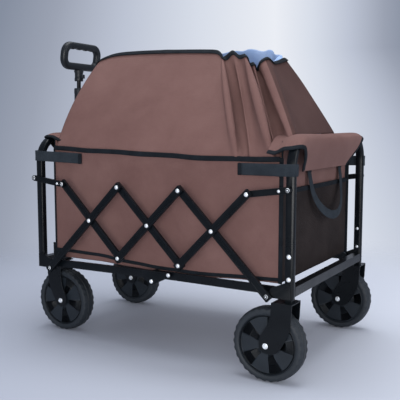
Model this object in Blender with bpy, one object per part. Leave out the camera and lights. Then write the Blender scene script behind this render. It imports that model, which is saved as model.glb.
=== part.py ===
"""Folding utility wagon, modelled open.

Two end frames of bent tube are joined on each side by a scissor of six flat struts and below by
a pair of hinged rails. A cloth tub hangs inside, with a cloth extension standing up from its rim.
Metres, +Z up, +X towards the rear end, the pull handle at -X, the near side at -Y, ground at Z 0.
Lengths along X are counted from the middle between the end frames until everything is parented.
"""
import math

import bmesh
import bpy
from mathutils import Matrix, Vector

# Clearances
GAP = 0.0003
LAYER_GAP = 0.0007
WELD = 0.0005

# Wheels
WHEEL_RADIUS = 0.100
TYRE_DEPTH = 0.020
TYRE_WIDTH = 0.048
TREAD_DEPTH = 0.003
TREAD_RIB_WIDTH = 0.026
WHEEL_SEGMENTS = 32
RIM_WIDTH = 0.038
HUB_RADIUS = 0.016
HUB_WIDTH = 0.050
SPOKES = 5
POCKET_SPREAD = math.radians(32)
POCKET_TURN = math.radians(4)
POCKET_WEB = 0.008
POCKET_INNER_RADIUS = 0.032
POCKET_OUTER_RADIUS = 0.074
AXLE_RADIUS = 0.004
BOLT_HEAD_RADIUS = 0.0075
BOLT_HEAD_HEIGHT = 0.004

# Wheel forks
FORK_SHEET = 0.003
FORK_WIDTH = 0.061
FORK_HEADROOM = 0.0214
FORK_PLATE_LENGTH = 0.057
FORK_EYE_RADIUS = 0.014
REAR_FORK_SETBACK = 0.0135
CASTER_RACE_RADIUS = 0.024
CASTER_RACE_HEIGHT = 0.003
KINGPIN_HEAD_RADIUS = 0.007
KINGPIN_HEAD_HEIGHT = 0.005
SWIVEL_SETBACK = 0.010
REAR_TRAIL = 0.054
FRONT_TRAIL = 0.026
FRONT_GAUGE = 0.388

# End frames: bent tube, its width along X and its depth along Y
TUBE_WIDTH = 0.025
TUBE_DEPTH = 0.020
TUBE_ROUND = 0.006
FRAME_WIDTH = 0.566
POST_HEIGHT = 0.4053
BEND_RADIUS = 0.070
BEND_STEPS = 8
CROSSBAR_HEIGHT = 0.025
CROSSBAR_RISE = 0.0056

# Scissor
STRUT_HALF = 0.147
STRUT_LOWER_LEG = 0.225
STRUT_WIDTH = 0.020
STRUT_THICKNESS = 0.008
OPEN_ANGLE = math.radians(45)
FOLDED_ANGLE = math.radians(80)
POST_OFFSET = 0.056
LOWER_PIVOT_RISE = 0.0042
STRUT_STANDOFF = 0.0032
LINK_WIDTH = 0.017
RIVET_RADIUS = 0.003
RIVET_HEAD_RADIUS = 0.0065
RIVET_HEAD_HEIGHT = 0.003
RIVET_BACK_RADIUS = 0.0055
RIVET_BACK_HEIGHT = 0.0012
SPACER_RADIUS = 0.006
BRACKET_SHEET = 0.003
BRACKET_HEIGHT = 0.042
BRACKET_EYE_RADIUS = 0.011
POST_BOLT_RISES = (0.0523, 0.1113)

# Bottom rails
RAIL_HEIGHT = 0.022
RAIL_THICKNESS = 0.0088
RAIL_HINGE_OFFSET = 0.045
RAIL_HINGE_RISE = 0.0168
RAIL_END_RISE = 0.0198
HUB_DROP = 0.0004
HUB_PLATE_SHEET = 0.003
FRONT_HUB_PLATE_SHEET = 0.002
HUB_TUBE_RADIUS = 0.008

# Pull handle
HANDLE_HINGE_REACH = 0.0795
HANDLE_HINGE_RISE = 0.0197
HANDLE_LEAN = math.radians(1.2)
HANDLE_TUBE_RADIUS = 0.0125
HANDLE_BORE_RADIUS = 0.0110
HANDLE_TUBE_LENGTH = 0.542
HANDLE_COLLAR_RADIUS = 0.0155
HANDLE_COLLAR_HEIGHT = 0.060
HANDLE_ROD_RADIUS = 0.0070
HANDLE_ROD_INSIDE = 0.300
HANDLE_ROD_SHOWN = 0.024
HANDLE_NECK_HEIGHT = 0.036
HANDLE_NECK_RADIUS = 0.0165
GRIP_WIDTH = 0.200
GRIP_HEIGHT = 0.097
GRIP_BAR = 0.022
GRIP_CORNER = 0.040
BUTTON_REACH = 0.006
BUTTON_SIZE = 0.014
HANDLE_CHEEK = 0.003
HANDLE_EYE_RADIUS = 0.0145

# Cloth tub
TUB_END_CLEARANCE = 0.0255
TUB_WIDTH = 0.524
CLOTH = 0.003
FLOOR_THICKNESS = 0.008
TUB_FRONT_HEIGHT = 0.348
TUB_REAR_HEIGHT = 0.329
END_PANEL_HEIGHT = 0.374

# Flap over each end rail
FLAP_INNER_REACH = 0.062
FLAP_OUTER_REACH = 0.005
FLAP_DROP = 0.092
FLAP_TUCK = 0.030
FLAP_TOP_WIDTH = 0.462
FLAP_HEM_WIDTH = 0.366

# Extension standing on the tub's rim
SKIRT_BASE_LENGTH = 0.744
SKIRT_TOP_LENGTH = 0.612
SKIRT_TOP_WIDTH = 0.180
SKIRT_TOP_SHIFT = -0.056
SKIRT_HEIGHT = 0.286
SKIRT_REAR_DIP = 0.050
SKIRT_BULGE = 0.012
SKIRT_BASE_CORNER = 0.030
SKIRT_TOP_CORNER = 0.060
SKIRT_LEVELS = 5
CORNER_BLEND = 0.020
DIP_START = 0.020
DIP_RUN = 0.220
PLEAT_DEPTH = 0.011
PLEATS = 4
PLEAT_START = 0.050
PLEAT_RUN = 0.300
LINING = 0.0015
LINING_GAP = 0.0015
LINING_RISE = 0.014
LINING_FOOT = 0.012

# Trim
STRAP_WIDTH = 0.034
STRAP_THICKNESS = 0.0025
STRAP_TAIL = 0.150
STRAP_TOP_GAP = 0.012
POCKET_TOP_DROP = 0.128
POCKET_THICKNESS = 0.004
LOOP_WIDTH = 0.026
LOOP_SPAN = 0.280
LOOP_DEPTH = 0.150
LOOP_BULGE = 0.028

# Heights that follow from the sizes above
AXLE_Z = WHEEL_RADIUS
FORK_TOP_Z = 2 * WHEEL_RADIUS + FORK_HEADROOM + FORK_SHEET
POST_BOTTOM_Z = FORK_TOP_Z + GAP
RAIL_TOP_Z = POST_BOTTOM_Z + POST_HEIGHT + TUBE_DEPTH / 2
END_RAIL_Z = POST_BOTTOM_Z + POST_HEIGHT
CROSSBAR_Z0 = POST_BOTTOM_Z + CROSSBAR_RISE
CROSSBAR_Z1 = CROSSBAR_Z0 + CROSSBAR_HEIGHT
FLOOR_Z0 = CROSSBAR_Z1 + GAP
FLOOR_Z1 = FLOOR_Z0 + FLOOR_THICKNESS
LOWER_PIVOT_Z = POST_BOTTOM_Z + LOWER_PIVOT_RISE
RAIL_HINGE_Z = POST_BOTTOM_Z + RAIL_HINGE_RISE
RAIL_END_Z = POST_BOTTOM_Z + RAIL_END_RISE
HUB_Z = POST_BOTTOM_Z - HUB_DROP

# Scissor pivots as (x, z): B below, M in the middle, T above, numbered from the front
SPAN = 2 * STRUT_HALF * math.cos(OPEN_ANGLE)
RISE = STRUT_HALF * math.sin(OPEN_ANGLE)
LEG_X = STRUT_LOWER_LEG * math.cos(OPEN_ANGLE)
MIDDLE_Z = LOWER_PIVOT_Z + STRUT_LOWER_LEG * math.sin(OPEN_ANGLE)
M1, M2, M3 = (-SPAN, MIDDLE_Z), (0.0, MIDDLE_Z), (SPAN, MIDDLE_Z)
B1, B2 = (-SPAN / 2, MIDDLE_Z - RISE), (SPAN / 2, MIDDLE_Z - RISE)
T1, T4 = (-1.5 * SPAN, MIDDLE_Z + RISE), (1.5 * SPAN, MIDDLE_Z + RISE)
T2, T3 = (-SPAN / 2, MIDDLE_Z + RISE), (SPAN / 2, MIDDLE_Z + RISE)
B0, B3 = (-SPAN - LEG_X, LOWER_PIVOT_Z), (SPAN + LEG_X, LOWER_PIVOT_Z)
POST_X = B3[0] + POST_OFFSET
CROSSBAR_HALF = TUBE_WIDTH / 2 - 2 * WELD

# Where the rear top pivot T4 stands when folded, and the post pivot that is as far from both
FOLDED_T4 = (
    B3[0] - STRUT_LOWER_LEG * math.cos(FOLDED_ANGLE) + STRUT_HALF * math.cos(FOLDED_ANGLE),
    B3[1] + (STRUT_LOWER_LEG + STRUT_HALF) * math.sin(FOLDED_ANGLE),
)
T4_MIDWAY = ((T4[0] + FOLDED_T4[0]) / 2, (T4[1] + FOLDED_T4[1]) / 2)
UPPER_PIVOT_Z = T4_MIDWAY[1] - (POST_X - T4_MIDWAY[0]) * (FOLDED_T4[0] - T4[0]) / (FOLDED_T4[1] - T4[1])
FRONT_POST_PIVOT, REAR_POST_PIVOT = (-POST_X, UPPER_PIVOT_Z), (POST_X, UPPER_PIVOT_Z)
RAIL_HINGE_X = POST_X - RAIL_HINGE_OFFSET
TUB_LENGTH = 2 * (POST_X - TUBE_WIDTH / 2 - TUB_END_CLEARANCE)

# Layers outwards from the middle, as distances from the plane Y = 0
POST_Y = FRAME_WIDTH / 2
POST_OUTER_Y = POST_Y + TUBE_DEPTH / 2
BRACKET_Y0 = POST_OUTER_Y - WELD
BRACKET_Y1 = POST_OUTER_Y + BRACKET_SHEET
INNER_STRUT_Y0 = BRACKET_Y1 + STRUT_STANDOFF
INNER_STRUT_Y1 = INNER_STRUT_Y0 + STRUT_THICKNESS
OUTER_STRUT_Y0 = INNER_STRUT_Y1 + LAYER_GAP
OUTER_STRUT_Y1 = OUTER_STRUT_Y0 + STRUT_THICKNESS
FRONT_RAIL_Y1 = BRACKET_Y0 - GAP
FRONT_RAIL_Y0 = FRONT_RAIL_Y1 - RAIL_THICKNESS
REAR_RAIL_Y1 = FRONT_RAIL_Y0 - LAYER_GAP
REAR_RAIL_Y0 = REAR_RAIL_Y1 - RAIL_THICKNESS

# Casters hang from the front crossbar: mount plate, bearing race, then the fork's own plate
CASTER_TOP_Z = CROSSBAR_Z0 - 2 * GAP - FORK_SHEET - CASTER_RACE_HEIGHT

# Places along X
REAR_AXLE_X = POST_X - REAR_TRAIL
SWIVEL_X = -POST_X - SWIVEL_SETBACK
FRONT_AXLE_X = SWIVEL_X + FRONT_TRAIL
SWIVEL_Y = FRONT_GAUGE / 2
HANDLE_X = -POST_X - TUBE_WIDTH / 2 - HANDLE_HINGE_REACH
HANDLE_Z = CROSSBAR_Z0 + HANDLE_HINGE_RISE
FRONT_END_X = HANDLE_X - HANDLE_EYE_RADIUS
REAR_END_X = REAR_AXLE_X + WHEEL_RADIUS
MIDDLE_X = (FRONT_END_X + REAR_END_X) / 2

# Colours and finish: base colour, roughness, metallic
BLACK_STEEL = ((0.010, 0.012, 0.015), 0.30, 0.0)
ZINC = ((0.72, 0.74, 0.76), 0.35, 1.0)
BLACK_PLASTIC = ((0.018, 0.019, 0.022), 0.45, 0.0)
TYRE_RUBBER = ((0.020, 0.021, 0.023), 0.75, 0.0)
BROWN_CLOTH = ((0.165, 0.095, 0.088), 0.85, 0.0)
BLUE_LINING = ((0.200, 0.310, 0.520), 0.80, 0.0)
BLACK_MESH = ((0.017, 0.012, 0.012), 0.90, 0.0)
WEBBING = ((0.024, 0.032, 0.040), 0.80, 0.0)

SMOOTH_ANGLE = math.radians(35)

SIDES = (("near", -1), ("far", 1))

empties = {}
pivots = {}
materials = {}


def add_body(name, parent, pivot):
    """An empty on the body's joint axis, carried by its parent's empty."""
    empty = bpy.data.objects.new(name + "_body", None)
    empty.empty_display_size = 0.02
    bpy.context.scene.collection.objects.link(empty)
    pivots[name] = Vector(pivot)
    empties[name] = empty
    if parent:
        empty.parent = empties[parent]
        empty.location = pivots[name] - pivots[parent]
    else:
        empty.location = pivots[name] - Vector((MIDDLE_X, 0, 0))


def material(name, look):
    if name not in materials:
        colour, roughness, metallic = look
        made = bpy.data.materials.new(name)
        made.use_nodes = True
        shader = made.node_tree.nodes["Principled BSDF"]
        shader.inputs["Base Color"].default_value = (*colour, 1.0)
        shader.inputs["Roughness"].default_value = roughness
        shader.inputs["Metallic"].default_value = metallic
        made.diffuse_color = (*colour, 1.0)
        materials[name] = made
    return materials[name]


def place(name, bm, body):
    """An object from a mesh in the wagon's own coordinates, its origin on the body's pivot."""
    bmesh.ops.translate(bm, verts=bm.verts[:], vec=-pivots[body])
    mesh = bpy.data.meshes.new(name)
    bm.to_mesh(mesh)
    bm.free()
    mesh.shade_smooth()
    mesh.set_sharp_from_angle(angle=SMOOTH_ANGLE)
    made = bpy.data.objects.new(name, mesh)
    bpy.context.scene.collection.objects.link(made)
    made.parent = empties[body]
    return made


def node(name, bm, body, look):
    """A finished piece with its own material."""
    bmesh.ops.recalc_face_normals(bm, faces=bm.faces[:])
    made = place(name, bm, body)
    made.data.materials.append(material(name, look))
    return made


def combine(target, bm, body, operation):
    """Cut the tool mesh out of the target or unite it with the target."""
    bmesh.ops.recalc_face_normals(bm, faces=bm.faces[:])
    tool = place(f"{target.name}_tool_{len(target.modifiers)}", bm, body)
    tool.hide_render = True
    tool.display_type = "WIRE"
    change = target.modifiers.new(operation.title(), "BOOLEAN")
    change.operation = operation
    change.solver = "EXACT"
    change.object = tool


def join(*parts):
    """One mesh from several."""
    whole = parts[0]
    for part in parts[1:]:
        mesh = bpy.data.meshes.new("join")
        part.to_mesh(mesh)
        part.free()
        whole.from_mesh(mesh)
        bpy.data.meshes.remove(mesh)
    return whole


def both_sides(bm):
    """The same shape again, mirrored to the far side."""
    copy = bmesh.ops.duplicate(bm, geom=bm.verts[:] + bm.edges[:] + bm.faces[:])["geom"]
    verts = [item for item in copy if isinstance(item, bmesh.types.BMVert)]
    faces = [item for item in copy if isinstance(item, bmesh.types.BMFace)]
    bmesh.ops.scale(bm, vec=(1, -1, 1), verts=verts)
    bmesh.ops.reverse_faces(bm, faces=faces)
    return bm


def to_side(bm, sign):
    """A near-side shape kept as it is for the near side, or mirrored to the far side."""
    if sign > 0:
        bmesh.ops.scale(bm, vec=(1, -1, 1), verts=bm.verts[:])
        bmesh.ops.reverse_faces(bm, faces=bm.faces[:])
    return bm


def ring(bm, points):
    """A closed loop of edges through the points."""
    verts = [bm.verts.new(point) for point in points]
    return [bm.edges.new((verts[i - 1], verts[i])) for i in range(len(verts))]


def arc(centre, radius, start, end, steps):
    """Points on a circle, angles in degrees, both ends included."""
    angles = [math.radians(start + (end - start) * i / steps) for i in range(steps + 1)]
    return [(centre[0] + radius * math.cos(a), centre[1] + radius * math.sin(a)) for a in angles]


def circle(centre, radius, steps=10):
    return arc(centre, radius, 0, 360, steps)[:-1]


def hole(centre, radius, steps=10):
    """A hole whose flats clear a pin of the radius."""
    return circle(centre, (radius + GAP) / math.cos(math.pi / steps), steps)


def pulled(outline, holes, to_3d, vector):
    """A flat outline with holes, filled and pulled along a vector."""
    bm = bmesh.new()
    edges = []
    for loop in (outline, *holes):
        edges += ring(bm, [to_3d(point) for point in loop])
    bmesh.ops.triangle_fill(bm, use_beauty=True, use_dissolve=False, edges=edges)
    pull = bmesh.ops.extrude_face_region(bm, geom=bm.faces[:])["geom"]
    moved = [item for item in pull if isinstance(item, bmesh.types.BMVert)]
    bmesh.ops.translate(bm, verts=moved, vec=vector)
    bmesh.ops.recalc_face_normals(bm, faces=bm.faces[:])
    return bm


def side_plate(outline, y0, y1, holes=()):
    """A plate that lies along the wagon's side, on the near side from y0 to y1 outwards."""
    return pulled(outline, holes, lambda p: (p[0], -y0, p[1]), (0, y0 - y1, 0))


def level_plate(outline, z0, z1, holes=()):
    return pulled(outline, holes, lambda p: (p[0], p[1], z0), (0, 0, z1 - z0))


def block(x0, x1, y0, y1, z0, z1, edge=0.0):
    bm = bmesh.new()
    size = Matrix.Diagonal((x1 - x0, y1 - y0, z1 - z0, 1))
    centre = Matrix.Translation(((x0 + x1) / 2, (y0 + y1) / 2, (z0 + z1) / 2))
    bmesh.ops.create_cube(bm, size=1.0, matrix=centre @ size)
    if edge:
        bmesh.ops.bevel(
            bm, geom=bm.edges[:], offset=edge, segments=1, profile=0.5, affect="EDGES", material=-1
        )
    return bm


def rounded_rectangle(half_x, half_y, radius, steps=2):
    points = []
    for sign_x, sign_y, start in ((1, 1, 0), (-1, 1, 90), (-1, -1, 180), (1, -1, 270)):
        centre = (sign_x * (half_x - radius), sign_y * (half_y - radius))
        points += arc(centre, radius, start, start + 90, steps)
    return points


def turned(profile, origin, axis, steps):
    """A profile of (radius, distance along the axis), turned round the axis through origin."""
    bm = bmesh.new()
    verts = [bm.verts.new((radius, 0, along)) for radius, along in profile]
    edges = [bm.edges.new(pair) for pair in zip(verts, verts[1:])]
    if profile[0][0] > 0:
        edges.append(bm.edges.new((verts[-1], verts[0])))
    bmesh.ops.spin(
        bm, geom=verts + edges, cent=(0, 0, 0), axis=(0, 0, 1), dvec=(0, 0, 0),
        angle=math.tau, steps=steps, use_merge=True, use_duplicate=False,
    )
    bmesh.ops.remove_doubles(bm, verts=bm.verts[:], dist=1e-6)
    bmesh.ops.recalc_face_normals(bm, faces=bm.faces[:])
    turn = Vector((0, 0, 1)).rotation_difference(Vector(axis)).to_matrix().to_4x4()
    bmesh.ops.transform(bm, matrix=Matrix.Translation(origin) @ turn, verts=bm.verts[:])
    return bm


def last_loop(geom):
    """The vertices and edges at the moved end of a pull or a spin."""
    return [item for item in geom if not isinstance(item, bmesh.types.BMFace)]


def bent_bar(points, moves):
    """A section pulled along straight moves and round bends, closed at both ends."""
    bm = bmesh.new()
    loop = ring(bm, points)
    bmesh.ops.contextual_create(bm, geom=loop)
    loop = bm.verts[:] + bm.edges[:]
    for kind, *values in moves:
        if kind == "straight":
            edges = [item for item in loop if isinstance(item, bmesh.types.BMEdge)]
            loop = last_loop(bmesh.ops.extrude_edge_only(bm, edges=edges)["geom"])
            top = [item for item in loop if isinstance(item, bmesh.types.BMVert)]
            loop = top + [e for e in loop if isinstance(e, bmesh.types.BMEdge) and set(e.verts) <= set(top)]
            bmesh.ops.translate(bm, verts=top, vec=values[0])
        else:
            centre, axis, angle, steps = values
            loop = last_loop(
                bmesh.ops.spin(
                    bm, geom=loop, cent=centre, axis=axis, dvec=(0, 0, 0),
                    angle=angle, steps=steps, use_duplicate=False,
                )["geom_last"]
            )
    bmesh.ops.contextual_create(bm, geom=[e for e in loop if isinstance(e, bmesh.types.BMEdge)])
    bmesh.ops.recalc_face_normals(bm, faces=bm.faces[:])
    return bm


def pin(centre, profile):
    """A rivet, stud or pin of the near side, turned about a pivot; distances run outwards."""
    return turned(profile, (centre[0], 0, centre[1]), (0, -1, 0), 10)


def domed_head(base):
    """The end of a pin's profile: a domed head that sits on a face."""
    head = base - WELD
    tip = base + RIVET_HEAD_HEIGHT
    return [(RIVET_RADIUS, head), (RIVET_HEAD_RADIUS, head), (RIVET_HEAD_RADIUS * 0.6, tip), (0, tip)]


def flat_head(base):
    head = base - WELD
    tip = base + RIVET_BACK_HEIGHT
    return [(0, head), (RIVET_HEAD_RADIUS, head), (RIVET_HEAD_RADIUS * 0.6, tip), (0, tip)]


def back_head(face):
    """The start of a pin's profile: a flat head just inside the piece that turns on the pin."""
    back1 = face - GAP
    back0 = back1 - RIVET_BACK_HEIGHT
    return [(0, back0), (RIVET_BACK_RADIUS, back0), (RIVET_BACK_RADIUS, back1), (RIVET_RADIUS, back1)]


def through_rivet(centre):
    """A rivet of the outer strut that also carries the inner one."""
    return pin(centre, back_head(INNER_STRUT_Y0) + domed_head(OUTER_STRUT_Y1))


def outer_rivet(centre):
    """A rivet that holds to the outer layer alone."""
    start = INNER_STRUT_Y1 + GAP
    return pin(centre, [(0, start), (RIVET_RADIUS, start)] + domed_head(OUTER_STRUT_Y1))


def stud(centre, foot, strut_y0, strut_y1):
    """A stud with a wide shoulder behind the strut that turns on it and a head outside."""
    shoulder = strut_y0 - GAP
    head = strut_y1 + GAP
    tip = head + RIVET_HEAD_HEIGHT
    return pin(centre, [
        (0, foot), (SPACER_RADIUS, foot), (SPACER_RADIUS, shoulder), (RIVET_RADIUS, shoulder),
        (RIVET_RADIUS, head), (RIVET_HEAD_RADIUS, head), (RIVET_HEAD_RADIUS * 0.6, tip), (0, tip),
    ])


def rail_pin(centre, rail_y0, rail_y1):
    """A pin from the bracket inwards through a bottom rail."""
    profile = back_head(rail_y0)
    shoulder = rail_y1 + GAP
    if shoulder < BRACKET_Y0 - GAP:
        profile += [(RIVET_RADIUS, shoulder), (SPACER_RADIUS, shoulder), (SPACER_RADIUS, BRACKET_Y0 + WELD)]
    profile += [(RIVET_RADIUS, BRACKET_Y0 + WELD), (RIVET_RADIUS, BRACKET_Y0 + 3 * WELD)]
    profile += [(0, BRACKET_Y0 + 3 * WELD)]
    return pin(centre, profile)


def bar_outline(start, end, width):
    """A flat bar with round ends, from one pivot to another."""
    run = Vector((end[0] - start[0], end[1] - start[1]))
    heading = math.degrees(math.atan2(run.y, run.x))
    return arc(end, width / 2, heading - 90, heading + 90, 5) + arc(
        start, width / 2, heading + 90, heading + 270, 5
    )


def flat_bar(start, end, width, y0, y1, pivots_on_it):
    holes = [hole(pivot, RIVET_RADIUS) for pivot in pivots_on_it]
    return side_plate(bar_outline(start, end, width), y0, y1, holes)


def add_bodies():
    add_body("root", None, (0, 0, 0))
    add_body("strut_6", "root", (B3[0], 0, B3[1]))
    add_body("strut_5", "strut_6", (M3[0], 0, M3[1]))
    add_body("strut_3", "strut_6", (T3[0], 0, T3[1]))
    add_body("strut_4", "strut_3", (M2[0], 0, M2[1]))
    add_body("strut_2", "strut_3", (B1[0], 0, B1[1]))
    add_body("strut_1", "strut_2", (M1[0], 0, M1[1]))
    add_body("front_frame", "strut_1", (B0[0], 0, B0[1]))
    add_body("rear_link", "root", (POST_X, 0, UPPER_PIVOT_Z))
    add_body("front_link", "front_frame", (-POST_X, 0, UPPER_PIVOT_Z))
    add_body("rear_rail", "root", (RAIL_HINGE_X, 0, RAIL_HINGE_Z))
    add_body("front_rail", "front_frame", (-RAIL_HINGE_X, 0, RAIL_HINGE_Z))
    for side, sign in (("near", -1), ("far", 1)):
        add_body(f"rear_wheel_{side}", "root", (REAR_AXLE_X, sign * POST_Y, AXLE_Z))
        add_body(f"caster_{side}", "front_frame", (SWIVEL_X, sign * SWIVEL_Y, FORK_TOP_Z))
        add_body(f"front_wheel_{side}", f"caster_{side}", (FRONT_AXLE_X, sign * SWIVEL_Y, AXLE_Z))
    add_body("handle", "front_frame", (HANDLE_X, 0, HANDLE_Z))
    add_body("handle_rod", "handle", (HANDLE_X, 0, HANDLE_Z))
    add_body("button", "handle_rod", (HANDLE_X, 0, HANDLE_Z))


def bracket(sign):
    """A plate at the foot of the near post that carries the strut and the bottom rail."""
    eye = (B3[0], B3[1])
    foot = POST_BOTTOM_Z + GAP
    top = POST_BOTTOM_Z + BRACKET_HEIGHT
    edge_x = POST_X + TUBE_WIDTH / 2 - TUBE_ROUND
    outline = [(edge_x, foot), (edge_x, top), (POST_X - TUBE_WIDTH / 2, top)]
    outline += [(RAIL_HINGE_X - 0.003, RAIL_HINGE_Z + 0.009)]
    outline += arc(eye, BRACKET_EYE_RADIUS, 75, 290, 7)
    outline += [(RAIL_HINGE_X + 0.002, foot)]
    return side_plate([(sign * px, pz) for px, pz in outline], BRACKET_Y0, BRACKET_Y1)


def end_frames():
    """Each end is one weldment: bent tube, crossbar, two foot brackets and their studs."""
    section = rounded_rectangle(TUBE_WIDTH / 2, TUBE_DEPTH / 2, TUBE_ROUND)
    upright = POST_HEIGHT - BEND_RADIUS
    bend_z = POST_BOTTOM_Z + upright
    bend_y = POST_Y - BEND_RADIUS
    ends = (
        ("rear", "root", 1, (INNER_STRUT_Y0, INNER_STRUT_Y1), (REAR_RAIL_Y0, REAR_RAIL_Y1)),
        ("front", "front_frame", -1, (OUTER_STRUT_Y0, OUTER_STRUT_Y1), (FRONT_RAIL_Y0, FRONT_RAIL_Y1)),
    )
    for name, body, sign, strut_layer, rail_layer in ends:
        x = sign * POST_X
        points = [(x + px, py - POST_Y, POST_BOTTOM_Z) for px, py in section]
        frame = bent_bar(points, [
            ("straight", (0, 0, upright)),
            ("bend", (x, -bend_y, bend_z), (-1, 0, 0), math.pi / 2, BEND_STEPS),
            ("straight", (0, 2 * bend_y, 0)),
            ("bend", (x, bend_y, bend_z), (-1, 0, 0), math.pi / 2, BEND_STEPS),
            ("straight", (0, 0, -upright)),
        ])
        made = node(f"{name}_end_frame", frame, body, BLACK_STEEL)
        reach = POST_Y - TUBE_DEPTH / 2 + 2 * WELD
        bar = block(x - CROSSBAR_HALF, x + CROSSBAR_HALF, -reach, reach, CROSSBAR_Z0, CROSSBAR_Z1)
        combine(made, bar, body, "UNION")
        combine(made, both_sides(bracket(sign)), body, "UNION")
        lower = (sign * B3[0], B3[1])
        hinge = (sign * RAIL_HINGE_X, RAIL_HINGE_Z)
        studs = [
            stud(lower, BRACKET_Y1 - WELD, *strut_layer),
            stud((x, UPPER_PIVOT_Z), POST_OUTER_Y - 2 * WELD, *strut_layer),
            rail_pin(hinge, *rail_layer),
        ]
        if name == "rear":
            studs += [pin((x, POST_BOTTOM_Z + rise), flat_head(POST_OUTER_Y)) for rise in POST_BOLT_RISES]
        combine(made, both_sides(join(*studs)), body, "UNION")


def bar_with_rivets(name, body, sign, outline_ends, width, layer, holes, rivets):
    start, end = outline_ends
    bar = flat_bar(start, end, width, *layer, holes)
    made = node(name, to_side(bar, sign), body, BLACK_STEEL)
    if rivets:
        combine(made, to_side(join(*rivets), sign), body, "UNION")


def scissor():
    """On each side, three struts outside with the rivets and three inside that turn on them."""
    inner = (INNER_STRUT_Y0, INNER_STRUT_Y1)
    outer = (OUTER_STRUT_Y0, OUTER_STRUT_Y1)
    struts = (
        ("strut_1", (B0, T2), outer, (B0,), (M1, T2), ()),
        ("strut_2", (T1, B1), inner, (T1, M1, B1), (), ()),
        ("strut_3", (B1, T3), outer, (), (B1, M2, T3), ()),
        ("strut_4", (T2, B2), inner, (T2, M2, B2), (), ()),
        ("strut_5", (B2, T4), outer, (), (B2, M3), (T4,)),
        ("strut_6", (T3, B3), inner, (T3, M3, B3), (), ()),
    )
    for side, sign in SIDES:
        for body, ends, layer, holes, through, outside in struts:
            rivets = [through_rivet(pivot) for pivot in through] + [outer_rivet(pivot) for pivot in outside]
            name = f"scissor_{body}_{side}"
            bar_with_rivets(name, body, sign, ends, STRUT_WIDTH, layer, holes, rivets)
        ends = (FRONT_POST_PIVOT, T1)
        holes = (FRONT_POST_PIVOT,)
        name = f"front_link_{side}"
        bar_with_rivets(name, "front_link", sign, ends, LINK_WIDTH, outer, holes, [outer_rivet(T1)])
        ends = (REAR_POST_PIVOT, T4)
        bar_with_rivets(f"rear_link_{side}", "rear_link", sign, ends, LINK_WIDTH, inner, ends, [])


def bottom_rails():
    """Hinged rails: the rear pair is one frame with a cross tube under the floor's middle."""
    hub = (0.0, HUB_Z)
    eye = RAIL_HEIGHT / 2
    rear_hinge = (RAIL_HINGE_X, RAIL_HINGE_Z)
    rail_end = (0.0, RAIL_END_Z)
    rear = flat_bar(rear_hinge, rail_end, RAIL_HEIGHT, REAR_RAIL_Y0, REAR_RAIL_Y1, (rear_hinge,))
    made = node("rear_bottom_rails", both_sides(rear), "rear_rail", BLACK_STEEL)
    tube_z = FLOOR_Z0 - GAP - HUB_TUBE_RADIUS
    plate_y1 = REAR_RAIL_Y0 + WELD
    plate_y0 = REAR_RAIL_Y0 - HUB_PLATE_SHEET
    outline = arc((0, tube_z), HUB_TUBE_RADIUS - WELD, 20, 160, 4) + arc(hub, eye - WELD, 190, 350, 5)
    combine(made, both_sides(side_plate(outline, plate_y0, plate_y1)), "rear_rail", "UNION")
    reach = plate_y0 + 2 * WELD
    profile = [(0, -reach), (HUB_TUBE_RADIUS, -reach), (HUB_TUBE_RADIUS, reach), (0, reach)]
    combine(made, turned(profile, (0, 0, tube_z), (0, 1, 0), 16), "rear_rail", "UNION")

    front_hinge = (-RAIL_HINGE_X, RAIL_HINGE_Z)
    rivet_2 = (0.058, HUB_Z + 0.0242)
    outline = arc(rivet_2, 0.0072, -70, 95, 4)
    outline += [(-0.031, RAIL_END_Z + eye - 0.0005), (-0.031, RAIL_END_Z - eye + 0.0005)]
    outline += arc(hub, eye, 215, 320, 4)
    plate_y1 = FRONT_RAIL_Y1 + FRONT_HUB_PLATE_SHEET
    for side, sign in SIDES:
        rail = flat_bar(front_hinge, rail_end, RAIL_HEIGHT, FRONT_RAIL_Y0, FRONT_RAIL_Y1, (front_hinge,))
        made = node(f"front_bottom_rail_{side}", to_side(rail, sign), "front_rail", BLACK_STEEL)
        plate = side_plate(outline, FRONT_RAIL_Y1 - WELD, plate_y1)
        combine(made, to_side(plate, sign), "front_rail", "UNION")
        heads = [pin(pivot, flat_head(plate_y1)) for pivot in (hub, rivet_2)]
        combine(made, to_side(join(*heads), sign), "front_rail", "UNION")


def fork(name, body, plate_x, plate_top, axle_x, y, kingpin):
    """A pressed fork: a top plate and two cheeks that taper to the axle."""
    half = FORK_WIDTH / 2
    x0, x1 = plate_x
    under = plate_top - FORK_SHEET
    holes = [hole((kingpin, y), AXLE_RADIUS, 16)] if kingpin is not None else []
    corners = [(x0, y - half), (x1, y - half), (x1, y + half), (x0, y + half)]
    made = node(name, level_plate(corners, under, plate_top, holes), body, BLACK_STEEL)
    overlap = 0.001
    lean = math.degrees(math.atan2(under - AXLE_Z, (x0 + x1) / 2 - axle_x))
    cheek = [(x1, under + overlap), (x0, under + overlap), (x0, under - 0.010)]
    cheek += arc((axle_x, AXLE_Z), FORK_EYE_RADIUS, lean + 90, lean + 270, 8)
    cheek += [(x1, under - 0.010)]
    bore = hole((axle_x, AXLE_Z), AXLE_RADIUS, 12)
    for side in (-1, 1):
        edge = y + side * half
        plate = pulled(cheek, [bore], lambda p: (p[0], edge, p[1]), (0, -side * FORK_SHEET, 0))
        combine(made, plate, body, "UNION")
    return made


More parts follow.
